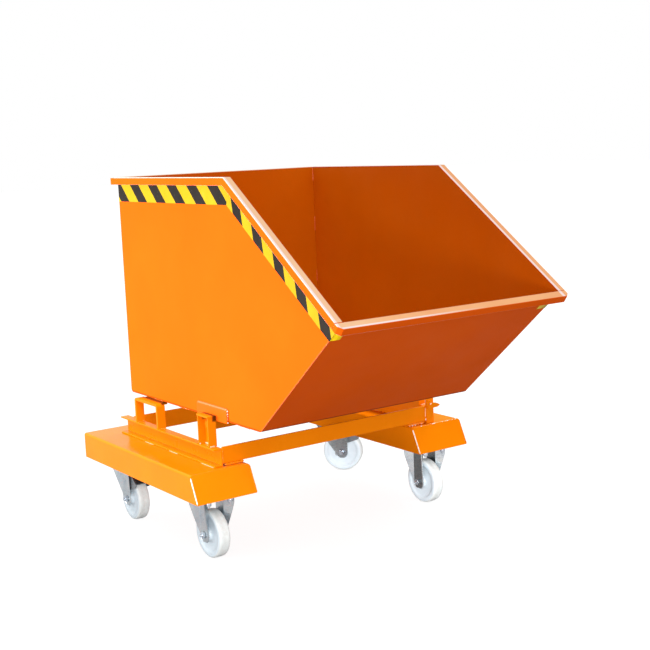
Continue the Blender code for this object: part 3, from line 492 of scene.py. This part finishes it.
def soften(obj, width):
    """Weld the triangle soup together and round its edges."""
    for poly in obj.data.polygons:
        poly.use_smooth = True
    if "custom_normal" in obj.data.attributes:
        obj.data.attributes.remove(obj.data.attributes["custom_normal"])
    weld = obj.modifiers.new("weld", "WELD")
    weld.merge_threshold = 0.00002
    if width:
        bevel = obj.modifiers.new("edge", "BEVEL")
        bevel.width = width
        bevel.segments = 2
        bevel.limit_method = "ANGLE"
        bevel.angle_limit = math.radians(28.0)
        bevel.use_clamp_overlap = True
        bevel.harden_normals = True
        bevel.miter_outer = "MITER_SHARP"
    normals = obj.modifiers.new("normals", "WEIGHTED_NORMAL")
    normals.keep_sharp = True
    normals.weight = 80


def line_inside(obj):
    """Give the faces that look into the hopper the inner paint, whose darker tone is painted shade.
    """
    obj.data.materials.append(PAINT_INNER)
    turn = obj.matrix_world.to_3x3()
    for poly in obj.data.polygons:
        facing = turn @ poly.normal
        if (HOLLOW - obj.matrix_world @ poly.center).dot(facing) > 0:
            poly.material_index = 1


for name, obj in NODES.items():
    if name.startswith("wheel_"):    # replaced further down
        continue
    mat, width = finish_of(name)
    obj.data.materials.clear()
    obj.data.materials.append(mat)
    if name.startswith("hopper_"):
        line_inside(obj)
    soften(obj, width * MM)


# ---------------------------------------------------------------- mesh helpers
def make(name, shape, mat, body, smooth=True, matrix=None):
    """An object from (vertices, faces), riding on a body."""
    verts, faces = shape
    mesh = bpy.data.meshes.new(name)
    mesh.from_pydata([tuple(v) for v in verts], [], faces)
    obj = bpy.data.objects.new(name, mesh)
    bpy.context.scene.collection.objects.link(obj)
    bm = bmesh.new()
    bm.from_mesh(mesh)
    bmesh.ops.recalc_face_normals(bm, faces=bm.faces)
    for face in bm.faces:
        face.smooth = smooth
    for edge in bm.edges:
        if len(edge.link_faces) == 2:
            edge.smooth = edge.calc_face_angle(0.0) < math.radians(38)
    bm.to_mesh(mesh)
    bm.free()
    mesh.materials.append(mat)
    if matrix is not None:
        obj.matrix_world = matrix
    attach(obj, body)
    return obj


def lathe(profile, segments):
    """Closed ring about X from (along, radius) pairs in mm."""
    n = len(profile)
    verts, faces = [], []
    for s in range(segments):
        angle = 2 * math.pi * s / segments
        verts += [(along * MM, radius * MM * math.cos(angle), radius * MM * math.sin(angle))
                  for along, radius in profile]
    for s in range(segments):
        t = (s + 1) % segments
        faces += [[s * n + i, s * n + (i + 1) % n, t * n + (i + 1) % n, t * n + i]
                  for i in range(n)]
    return verts, faces


def turned(profile, segments, centre):
    """Solid about a vertical axis from (height, radius) pairs in mm."""
    verts, faces = [], []
    n = len(profile)
    for s in range(segments):
        angle = 2 * math.pi * s / segments
        verts += [centre + Vector((radius * math.cos(angle), radius * math.sin(angle), z)) * MM
                  for z, radius in profile]
    for s in range(segments):
        t = (s + 1) % segments
        faces += [[s * n + i, t * n + i, t * n + i + 1, s * n + i + 1] for i in range(n - 1)]
    faces.append([s * n for s in range(segments)])
    faces.append([s * n + n - 1 for s in range(segments)][::-1])
    return verts, faces


def hexagon(low, high, radius, centre, spin):
    """Hexagonal prism with chamfered corners, as four rings of 24 points."""
    chamfer = 0.9
    sixth = math.pi / 3
    verts, faces = [], []
    for z, full in ((low, False), (low + chamfer, True), (high - chamfer, True), (high, False)):
        for k in range(24):
            step = 2 * math.pi * k / 24
            reach = radius * math.cos(math.pi / 6) / math.cos((step + math.pi / 6) % sixth
                                                              - math.pi / 6)
            if not full:
                reach = min(reach, radius * 0.89)
            angle = spin + step
            verts.append(centre + Vector((reach * math.cos(angle), reach * math.sin(angle), z))
                         * MM)
    for i in range(3):
        for k in range(24):
            j = (k + 1) % 24
            faces.append([i * 24 + k, i * 24 + j, (i + 1) * 24 + j, (i + 1) * 24 + k])
    faces.append(list(range(24))[::-1])
    faces.append([72 + k for k in range(24)])
    return verts, faces


def prism_faces(n):
    """Faces of a prism whose vertices are two outlines of n points."""
    faces = [list(range(n)), list(range(2 * n - 1, n - 1, -1))]
    return faces + [[i, (i + 1) % n, n + (i + 1) % n, n + i] for i in range(n)]


def join(parts):
    verts, faces = [], []
    for part_verts, part_faces in parts:
        first = len(verts)
        verts += part_verts
        faces += [[i + first for i in face] for face in part_faces]
    return verts, faces


def placed(x, y, z, origin):
    """Matrix with the given axes and origin."""
    matrix = Matrix((x, y, z)).transposed().to_4x4()
    matrix.translation = origin
    return matrix


# ---------------------------------------------------------------- welds
def bead(name, points, radius, mat, body, wobble=0.22, pitch=None, seed=0.0):
    """A rippled rope along points; lengths and the ripple pitch are in mm."""
    sides = 9
    radius *= MM
    pitch = pitch * MM if pitch else radius * 0.9
    points = [at(*point) for point in points]
    path = []
    for a, b in zip(points, points[1:]):
        steps = max(2, int((b - a).length / (pitch / 3)))
        path += [a.lerp(b, i / steps) for i in range(steps)]
    path.append(points[-1])
    verts, faces = [], []
    total = 0.0
    last = len(path) - 1
    for i, point in enumerate(path):
        ahead = (path[min(i + 1, last)] - path[max(i - 1, 0)]).normalized()
        reference = Vector((0, 0, 1))
        if abs(ahead.dot(reference)) > 0.95:
            reference = Vector((1, 0, 0))
        across = ahead.cross(reference).normalized()
        upward = across.cross(ahead).normalized()
        if i:
            total += (point - path[i - 1]).length
        ripple = 1.0 + wobble * (abs(math.sin(math.pi * total / pitch)) - 0.5)
        taper = min(1.0, (i + 0.35) / 3.0, (last - i + 0.35) / 3.0)
        jitter = 1.0 + 0.14 * noise.noise(Vector((total * 180, seed, 0.3)))
        reach = radius * ripple * taper * jitter
        for k in range(sides):
            angle = 2 * math.pi * k / sides
            verts.append(point + across * (reach * math.cos(angle))
                         + upward * (reach * math.sin(angle)))
    for i in range(last):
        for k in range(sides):
            a, b = i * sides + k, i * sides + (k + 1) % sides
            faces.append([a, b, b + sides, a + sides])
    faces.append(list(reversed(range(sides))))
    faces.append([last * sides + k for k in range(sides)])
    make(name, (verts, faces), mat, body)


def pair(name, points, *args, **ripple):
    """The same bead on the left and on the right."""
    for tag, s in SIDES:
        bead("%s_%s" % (name, tag), [(s * x, y, z) for x, y, z in points], *args,
             seed=3.0 * s, **ripple)


def stitches(name, spans, place, *args, **ripple):
    """Paired short beads; place turns a measure along the seam into a point."""
    for k, span in enumerate(spans):
        pair("%s_%d" % (name, k), [place(along) for along in span], *args, **ripple)


def hopper_welds():
    """Pivot plates, corners, lower edges and the cross tube."""
    pair("weld_plate_top", [(418.6, -389, 496.8), (418.6, -197, 496.8)], 4.6, WELD_PINK, "hopper",
         wobble=0.10, pitch=5)
    # low and high end, radius, material
    plate_front = ((491, 497, 2.1, WELD_BRIGHT), (482, 487, 1.9, WELD_BRIGHT),
                   (476, 479, 1.7, WELD_BRIGHT), (462, 474, 1.5, WELD_PINK),
                   (454, 459, 1.6, WELD_BRIGHT))
    for k, (low, high, radius, mat) in enumerate(plate_front):
        pair("weld_plate_front_%d" % k, [(420.4, -391.2, low), (420.4, -391.2, high)], radius,
             mat, "hopper")
    pair("weld_plate_rear", [(420.4, -195.0, 456), (420.4, -195.0, 495)], 1.8, WELD, "hopper")
    rear_corner = ((1181, 1233, WELD_PINK), (984, 1043, WELD_PINK), (783, 832, WELD_PINK),
                   (580, 632, WELD))
    for k, (low, high, mat) in enumerate(rear_corner):
        pair("weld_rear_corner_%d" % k, [(413.8, 282.2, low), (413.8, 282.2, high)], 1.7, mat,
             "hopper", wobble=0.5, pitch=5)
    pair("weld_front_edge", [(416.6, -581.5, 459.5), (416.6, -1010.5, 822.0)], 1.5, WELD,
         "hopper", wobble=0.12, pitch=4)
    pair("weld_rear_edge", [(413.2, 287.4, 476), (413.2, 287.4, 1230)], 2.6, WELD, "hopper",
         wobble=0.16, pitch=5)
    stitches("weld_floor_edge", ((60, 130), (-130, -60), (-520, -450)),
             lambda y: (416.6, y, 457.8), 1.2, WELD, "hopper")
    tube_half = 19.4
    tube_faces = (("front", POST_Y - tube_half, WELD_PALE), ("rear", POST_Y + tube_half, WELD_FRAME))
    for k, span in enumerate(((70, 150), (300, 372))):
        for tag, s in SIDES:
            for face, y, mat in tube_faces:
                bead("weld_tube_%s_%s_%d" % (face, tag, k), [(s * x, y, 457.0) for x in span],
                     2.2, mat, "hopper")


def pocket_welds():
    """Sloping front ends of the pockets, and the rails on top of them."""
    half = 110.0
    for tag, s in SIDES:
        c = s * POCKET_X
        # the bright run is a painted highlight along one edge of each slope
        for run, x, radius, mat, ripple in (
                ("bright", c - half, 2.1, WELD_BRIGHT, {"wobble": 0.05, "pitch": 5}),
                ("plain", c + half, 1.6, WELD_FRAME, {"wobble": 0.12})):
            bead("weld_slope_%s_%s" % (run, tag), [(x, -382.0, 300.5), (x, -419.6, 219.5)],
                 radius, mat, BASE, **ripple)
        bead("weld_slope_top_" + tag, [(c - 103, -379.3, 306.9), (c + 103, -379.3, 306.9)], 0.9,
             WELD_FRAME, BASE, wobble=0.15)
    dots = ((380, 389), (433, 451), (480, 486), (505, 513), (529, 535), (541, 550))
    for k, span in enumerate(dots):
        bead("weld_slope_dot_%d" % k, [(x, -379.6, 307.2) for x in span], 1.5, WELD_BRIGHT, BASE,
             wobble=0.5, pitch=4)
    stitches("weld_rail_outer", ((133, 70), (-46, -107), (-269, -350)),
             lambda y: (458.7, y, 307.9), 0.95, WELD_PALE, BASE, wobble=0.4, pitch=5)
    stitches("weld_rail_inner", ((180, 110), (-20, -90), (-220, -290)),
             lambda y: (426.0, y, 308.3), 2.0, WELD_FRAME, BASE, wobble=0.3, pitch=5)


def beam_welds():
    """Ends and feet of the cross beams."""
    bead("weld_beam_lock", [(423.4, -357.2, 330), (423.4, -357.2, 366)], 1.7, WELD_PALE, BASE,
         wobble=0.5, pitch=5)
    bead("weld_beam_lock_foot", [(423.0, -357.6, 318), (425.0, -358.2, 327)], 2.3, WELD_BRIGHT,
         BASE)
    bead("weld_beam_left", [(-426.4, -356.9, 319), (-426.4, -356.9, 367)], 1.3, WELD_FRAME, BASE)
    for name, y, low, high in (("front_back", -349.2, 319, 362), ("rear_a", 275.2, 311, 366),
                               ("rear_b", 282.8, 311, 366)):
        pair("weld_beam_" + name, [(425.4, y, low), (425.4, y, high)], 2.2, WELD_FRAME, BASE)
    pair("weld_beam_rear_foot", [(350, 275.3, 308.2), (420, 275.3, 308.2)], 1.8, WELD_FRAME, BASE)
    dots = ((347, 352, WELD_PALE), (358, 366, WELD_BRIGHT), (371, 378, WELD_BRIGHT),
            (388, 391, WELD_PALE), (400, 408, WELD_PALE))
    for k, (start, end, mat) in enumerate(dots):
        bead("weld_beam_dot_%d" % k, [(start, -357.4, 308.8), (end, -357.4, 308.8)], 1.7, mat,
             BASE, wobble=0.5)
    pair("weld_beam_foot", [(346, -353, 311.9), (420, -353, 311.9)], 4.4, WELD_FRAME, BASE,
         wobble=0.12, pitch=6)


def post_welds():
    """Posts and rests on the rails, and a bright V-shaped dab on the end of the lock pin, a painted
    highlight.
    """
    post_half = 36.2
    for end, y in (("front", POST_Y - post_half), ("rear", POST_Y + post_half)):
        pair("weld_post_" + end, [(433, y, 369.4), (452, y, 369.4)], 2.2, WELD_PALE, BASE)
    pair("weld_post_in_a", [(430.6, -313, 369.6), (430.6, -296, 369.6)], 2.6, WELD_PALE, BASE)
    pair("weld_post_in_b", [(430.6, -276, 369.6), (430.6, -256, 369.6)], 2.6, WELD_PALE, BASE)
    pair("weld_post_foot", [(448, -316, 369.6), (453, -316, 369.6)], 2.6, WELD_BRIGHT, BASE,
         wobble=0.5)
    pair("weld_post_foot_b", [(448, -254, 369.6), (453, -254, 369.6)], 2.4, WELD_BRIGHT, BASE,
         wobble=0.5)
    pair("weld_post_spot", [(431.0, -305, 372.0), (431.6, -301, 376.0)], 3.0, WELD_PALE, BASE,
         wobble=0.5)
    for k, y in enumerate((26.8, 39.2, 188.8, 201.2)):
        pair("weld_rest_%d" % k, [(429, y, 369.2), (456, y, 369.2)], 1.8, WELD_FRAME, BASE)
    # painted highlight: a bright V on the end of the lock pin
    bead("weld_lock_pin", [(432.2, -374.2, 382.4), (435.2, -374.2, 378.2), (439.6, -374.2, 382.6)],
         1.1, WELD_BRIGHT, BASE, wobble=0.1)


def mount_welds():
    """Castor mounting plates between the pocket walls."""
    for tag, s in SIDES:
        for end, y in CASTOR_ROWS:
            for side, edge in ENDS:
                x = s * POCKET_X + edge * 104.6
                bead("weld_mount_%s_%s_%s" % (end, tag, side), [(x, y - 60, 221.6),
                     (x, y + 60, 221.6)], 1.9, WELD_FRAME, BASE, wobble=0.25, pitch=5)


hopper_welds()
pocket_welds()
beam_welds()
post_welds()
mount_welds()

# ---------------------------------------------------------------- castor bolts
BOLT_X, BOLT_Y = 40.0, 52.5          # half spacings of the four bolts
BRIDGE_HALF = 28.6                   # half width of the channel over a front fork
# (y, z) round the channel's section, y from the castor's middle
BRIDGE_OUTLINE = ((-27, 214), (-27, 193), (-24, 190), (24, 190), (27, 193), (27, 214), (24, 214),
                  (24, 195), (22, 193), (-22, 193), (-24, 195), (-24, 214))


# A channel across the top of a front fork in the dark zinc; its dark also stands in for the shade
# between the fork legs.
def fork_bridge(tag, castor_x, castor_y):
    verts = [at(castor_x + x, castor_y + y, z) for x in (-BRIDGE_HALF, BRIDGE_HALF)
             for y, z in BRIDGE_OUTLINE]
    make("fork_bridge_" + tag, (verts, prism_faces(len(BRIDGE_OUTLINE))), ZINC_DARK, BASE,
         smooth=False)


def mount_bolt(name, centre, front, spin):
    """Head, two washers, nut and stud end; a front bolt has a spacer as well."""
    low = 202.0 if front else 216.5  # face the lower washer bears on
    parts = [hexagon(230.8, 237.6, 9.8, centre, spin),
             turned([(230.1, 12.4), (230.9, 12.4)], 28, centre),
             turned([(low - 1.7, 10.6), (low - 0.1, 10.6)], 28, centre),
             hexagon(low - 12.0, low - 1.7, 9.0, centre, spin + 0.5),
             turned([(low - 18.5, 3.9), (low - 17.5, 4.9), (low - 12.0, 4.9)], 20, centre)]
    if front:
        parts.append(turned([(low - 0.1, 8.2), (217.0 - 0.1, 8.2)], 28, centre))
    make(name, join(parts), ZINC_BOLT, BASE)


for end, castor_y in CASTOR_ROWS:
    for tag, s in SIDES:
        castor_x = s * POCKET_X
        if end == "front":
            fork_bridge(tag, castor_x, castor_y)
        corners = [(x, y) for x in (-BOLT_X, BOLT_X) for y in (-BOLT_Y, BOLT_Y)]
        for k, (x, y) in enumerate(corners, 1):
            mount_bolt("mount_bolt_%s_%s_%d" % (end, tag, k), at(castor_x + x, castor_y + y, 0),
                       end == "front", 0.37 * k + (0.2 if tag == "left" else 0.0))

# ---------------------------------------------------------------- wheels
NYLON = nylon_material("white_polyamide")
RIM_X, HUB_X = 22.4, 27.4            # half widths at the rim and at the hub
# (along the axle, radius) of one half, from the bore to the middle of the tread
WHEEL_HALF = [
    (HUB_X, 14.0), (HUB_X, 17.6), (HUB_X - 0.5, 18.8), (HUB_X - 1.6, 19.6), (RIM_X - 3.2, 21.5),
    (RIM_X - 5.6, 24.5), (RIM_X - 6.3, 28.5), (RIM_X - 6.6, 34.0), (RIM_X - 6.5, 44.0),
    (RIM_X - 6.1, 53.0), (RIM_X - 5.0, 57.5), (RIM_X - 3.0, 60.5), (RIM_X - 1.5, 62.5),
    (RIM_X - 1.0, 66.0), (RIM_X - 1.2, 72.0), (RIM_X - 2.0, 75.0), (RIM_X - 3.6, 77.3),
    (RIM_X - 6.0, 78.9), (RIM_X - 9.5, 79.7), (RIM_X - 15.0, 80.0), (RIM_X - 21.6, 80.0),
    (RIM_X - 22.2, 79.85),
]
WHEEL_PROFILE = WHEEL_HALF + [(-along, radius) for along, radius in reversed(WHEEL_HALF)]
# (along the axle, radius) round the sections of the rings at either end
BEARING_SECTION = ((24.5, 10.9), (27.2, 10.9), (27.5, 11.6), (27.5, 13.4), (27.0, 14.2),
                   (24.5, 14.2))
WASHER_SECTION = ((32.92, 6.5), (33.18, 6.5), (33.18, 12.0), (32.92, 12.0))


def axle_matrix(joint):
    """Local frame of a wheel, its axle along X."""
    x = Vector(joint["axis"]).normalized()
    z = Vector((0, 0, 1))
    return placed(x, z.cross(x).normalized(), z, Vector(joint["pos_m"]))


JOINTS = {joint["name"]: joint for joint in frame["joints"]}
AXLES = {tag: axle_matrix(JOINTS["wheel_%s_roll" % tag])
         for tag in ("front_left", "front_right", "rear_left", "rear_right")}


def end_rings(name, section, segments, mat, body, matrix):
    for side, s in ENDS:
        make("%s_%s" % (name, side), lathe([(s * along, radius) for along, radius in section],
                                           segments), mat, body, matrix=matrix)


def brake_pad(tag, body, matrix):
    """A moulded pad above the tread, ribbed across."""
    start, end = Vector((0, -70.0, 66.4)), Vector((0, -52.0, 76.6))
    half, thick, ribs = 23.0, 3.2, 4
    run = end - start
    outward = Vector((0, -run.z, run.y)).normalized()
    line = [(0.0, 0.0)]              # share of the run, height
    for k in range(ribs):
        a, b = k / ribs, (k + 1) / ribs
        line += [(a, thick * 0.72), (a + 0.22 / ribs, thick), (b - 0.22 / ribs, thick),
                 (b, thick * 0.72)]
    line.append((1.0, 0.0))
    outline = [start + run * share + outward * height for share, height in line]
    verts = [(point + Vector((x, 0, 0))) * MM for x in (-half, half) for point in outline]
    make("brake_pad_" + tag, (verts, prism_faces(len(outline))), SEAL, body,
         matrix=matrix)


for tag, matrix in AXLES.items():
    roller = "roller_" + tag
    tyre = make("tyre_" + tag, lathe(WHEEL_PROFILE, 120), NYLON, roller,
                matrix=matrix)
    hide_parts("wheel_" + tag)
    end_rings("bearing_ring_" + tag, BEARING_SECTION, 48, SEAL, roller, matrix)

for tag, matrix in AXLES.items():
    end, side = tag.split("_")
    body = BASE if end == "front" else "swivel_" + tag
    end_rings("axle_washer_" + tag, WASHER_SECTION, 40, ZINC_DARK, body, matrix)
    if end == "rear":
        brake_pad(tag, body, matrix)
        centre = at(dict(SIDES)[side] * POCKET_X, dict(CASTOR_ROWS)[end], 0)
        make("race_seal_" + tag, turned([(202.15, 43.0), (202.85, 43.0)], 64, centre), SEAL, body)


# ---------------------------------------------------------------- floor and world
def by_ray(tree, camera, diffuse, glossy):
    """A value that differs between the camera, diffuse light and reflections."""
    path = tree.nodes.new("ShaderNodeLightPath")
    out = diffuse
    for ray, value in (("Is Glossy Ray", glossy), ("Is Camera Ray", camera)):
        mix = tree.nodes.new("ShaderNodeMix")
        mix.data_type = "FLOAT"
        tree.links.new(path.outputs[ray], mix.inputs["Factor"])
        if isinstance(out, bpy.types.NodeSocket):
            tree.links.new(out, mix.inputs["A"])
        else:
            mix.inputs["A"].default_value = out
        mix.inputs["B"].default_value = value
        out = mix.outputs["Result"]
    return out


def floor_material():
    mat = bpy.data.materials.new("studio_floor")
    mat.use_nodes = True
    tree = mat.node_tree
    bsdf = tree.nodes["Principled BSDF"]
    tone = tree.nodes.new("ShaderNodeCombineColor")
    grey = by_ray(tree, camera=0.30, diffuse=0.44, glossy=0.60)
    for channel in ("Red", "Green", "Blue"):
        tree.links.new(grey, tone.inputs[channel])
    tree.links.new(tone.outputs[0], bsdf.inputs["Base Color"])
    bsdf.inputs["Roughness"].default_value = 0.95
    bsdf.inputs["Specular IOR Level"].default_value = 0.1
    bsdf.inputs["Emission Color"].default_value = (1, 1, 1, 1)
    tree.links.new(by_ray(tree, camera=0.88, diffuse=0.0, glossy=0.2),
                   bsdf.inputs["Emission Strength"])
    return mat


floor_mat = floor_material()
bpy.ops.mesh.primitive_plane_add(size=80, location=(0, 0, CAD_BOX[0][2]))
floor = bpy.context.object
floor.name = "studio_floor"
floor.data.materials.append(floor_mat)

world = bpy.data.worlds.new("studio")
bpy.context.scene.world = world
world.use_nodes = True
background = world.node_tree.nodes["Background"]
background.inputs["Color"].default_value = (1, 1, 1, 1)
world.node_tree.links.new(by_ray(world.node_tree, camera=1.0, diffuse=0.90, glossy=0.85),
                          background.inputs["Strength"])


# ---------------------------------------------------------------- lights
def softbox(name, power, place, target, size):
    light = bpy.data.lights.new(name, "AREA")
    light.shape = "RECTANGLE"
    light.size, light.size_y = size
    light.energy = power
    obj = bpy.data.objects.new(name, light)
    bpy.context.scene.collection.objects.link(obj)
    obj.location = place
    obj.rotation_euler = (Vector(target) - Vector(place)).to_track_quat("-Z", "Y").to_euler()
    return obj


def only(light, name, test):
    """Let a light reach only the pieces that pass the test."""
    group = bpy.data.collections.new(name)
    for obj in bpy.data.objects:
        if obj.type == "MESH" and obj.get("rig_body") and test(obj):
            group.objects.link(obj)
    light.light_linking.receiver_collection = group


def of_hopper(obj):
    return obj["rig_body"] == "hopper"


def is_wheel(obj):
    return obj.data.materials[0].name.startswith("white")


def is_left_wheel(obj):
    return is_wheel(obj) and "left" in obj.name


def is_right_wheel(obj):
    return is_wheel(obj) and "right" in obj.name


def castor_metal(obj):
    """Plated and sealing parts, without the wheels."""
    return obj.data.materials[0].name.startswith(("zinc", "dark"))


def painted_base(obj):
    return not (of_hopper(obj) or castor_metal(obj) or is_wheel(obj))


def is_sheet(obj):
    return obj.name.startswith(("hopper_", "weld_rear_corner"))


LEFT = dict(place=(-4.2, 1.0, 0.70), target=(0, 0.1, 0.70), size=(3.0, 1.0))
EYE = dict(place=(-2.5, -3.9, 0.95), target=(0, 0, 0.1), size=(1.4, 1.0))
LOW = dict(place=(-1.6, -3.4, 0.42), target=(0, -0.4, 0.5), size=(2.4, 0.5))
ABOVE = dict(place=(-1.7, -0.2, 3.0), target=(-0.4, 0.1, 0.3), size=(1.6, 1.6))
RIGHT = dict(place=(1.9, 0.3, 2.6), target=(0.5, -0.2, 0.3), size=(1.2, 1.2))
HIGH_FRONT = dict(place=(-1.5, -2.4, 2.9), target=(0.1, 0.0, 0.7), size=(2.2, 2.2))
# light, power in W, stand, name of the group it reaches, test for that group
LIGHTS = (
    ("key_hopper", 345, LEFT, "hopper_parts", of_hopper),
    ("key_base", 119, LEFT, "base_left_parts", painted_base),
    ("key_castor", 138, LEFT, "castor_left_parts", castor_metal),
    ("wheel_left", 26, LEFT, "wheel_parts", is_wheel),
    ("wheel_front", 140, EYE, "wheel_near_parts", is_left_wheel),
    ("wheel_right", 256, EYE, "wheel_far_parts", is_right_wheel),
    ("castor_front", 68, EYE, "castor_front_parts", castor_metal),
    ("top_fill", 106, ABOVE, "base_parts", painted_base),
    ("right_fill", 90, RIGHT, "right_parts", painted_base),
    ("front_hopper", 30, LOW, "front_hopper_parts", of_hopper),
    ("front_base", 78, LOW, "front_base_parts", painted_base),
    ("inner_fill", 20, HIGH_FRONT, "inner_parts", is_sheet),
)
for name, power, stand, group_name, test in LIGHTS:
    only(softbox(name, power, **stand), group_name, test)
# without shadows it reaches under the hopper as well
bpy.data.lights["front_base"].use_shadow = False

# ---------------------------------------------------------------- camera
azimuth, elevation, roll = (math.radians(v) for v in (34.902, 8.540, -2.366))
back = Vector((-math.sin(azimuth) * math.cos(elevation),
               -math.cos(azimuth) * math.cos(elevation), math.sin(elevation)))
right = Vector((math.cos(azimuth), -math.sin(azimuth), 0))
up = back.cross(right)
cam_data = bpy.data.cameras.new("camera")
cam_data.sensor_width = 36.0
cam_data.lens = 66.985643
cam = bpy.data.objects.new("camera", cam_data)
bpy.context.scene.collection.objects.link(cam)
cam.matrix_world = placed(right * math.cos(roll) + up * math.sin(roll),
                          -right * math.sin(roll) + up * math.cos(roll), back,
                          Vector((-2.3160, -3.6716 + SHIFT, 1.3265)))
scene = bpy.context.scene
scene.camera = cam
scene.view_settings.view_transform = "Standard"
scene.view_settings.look = "None"
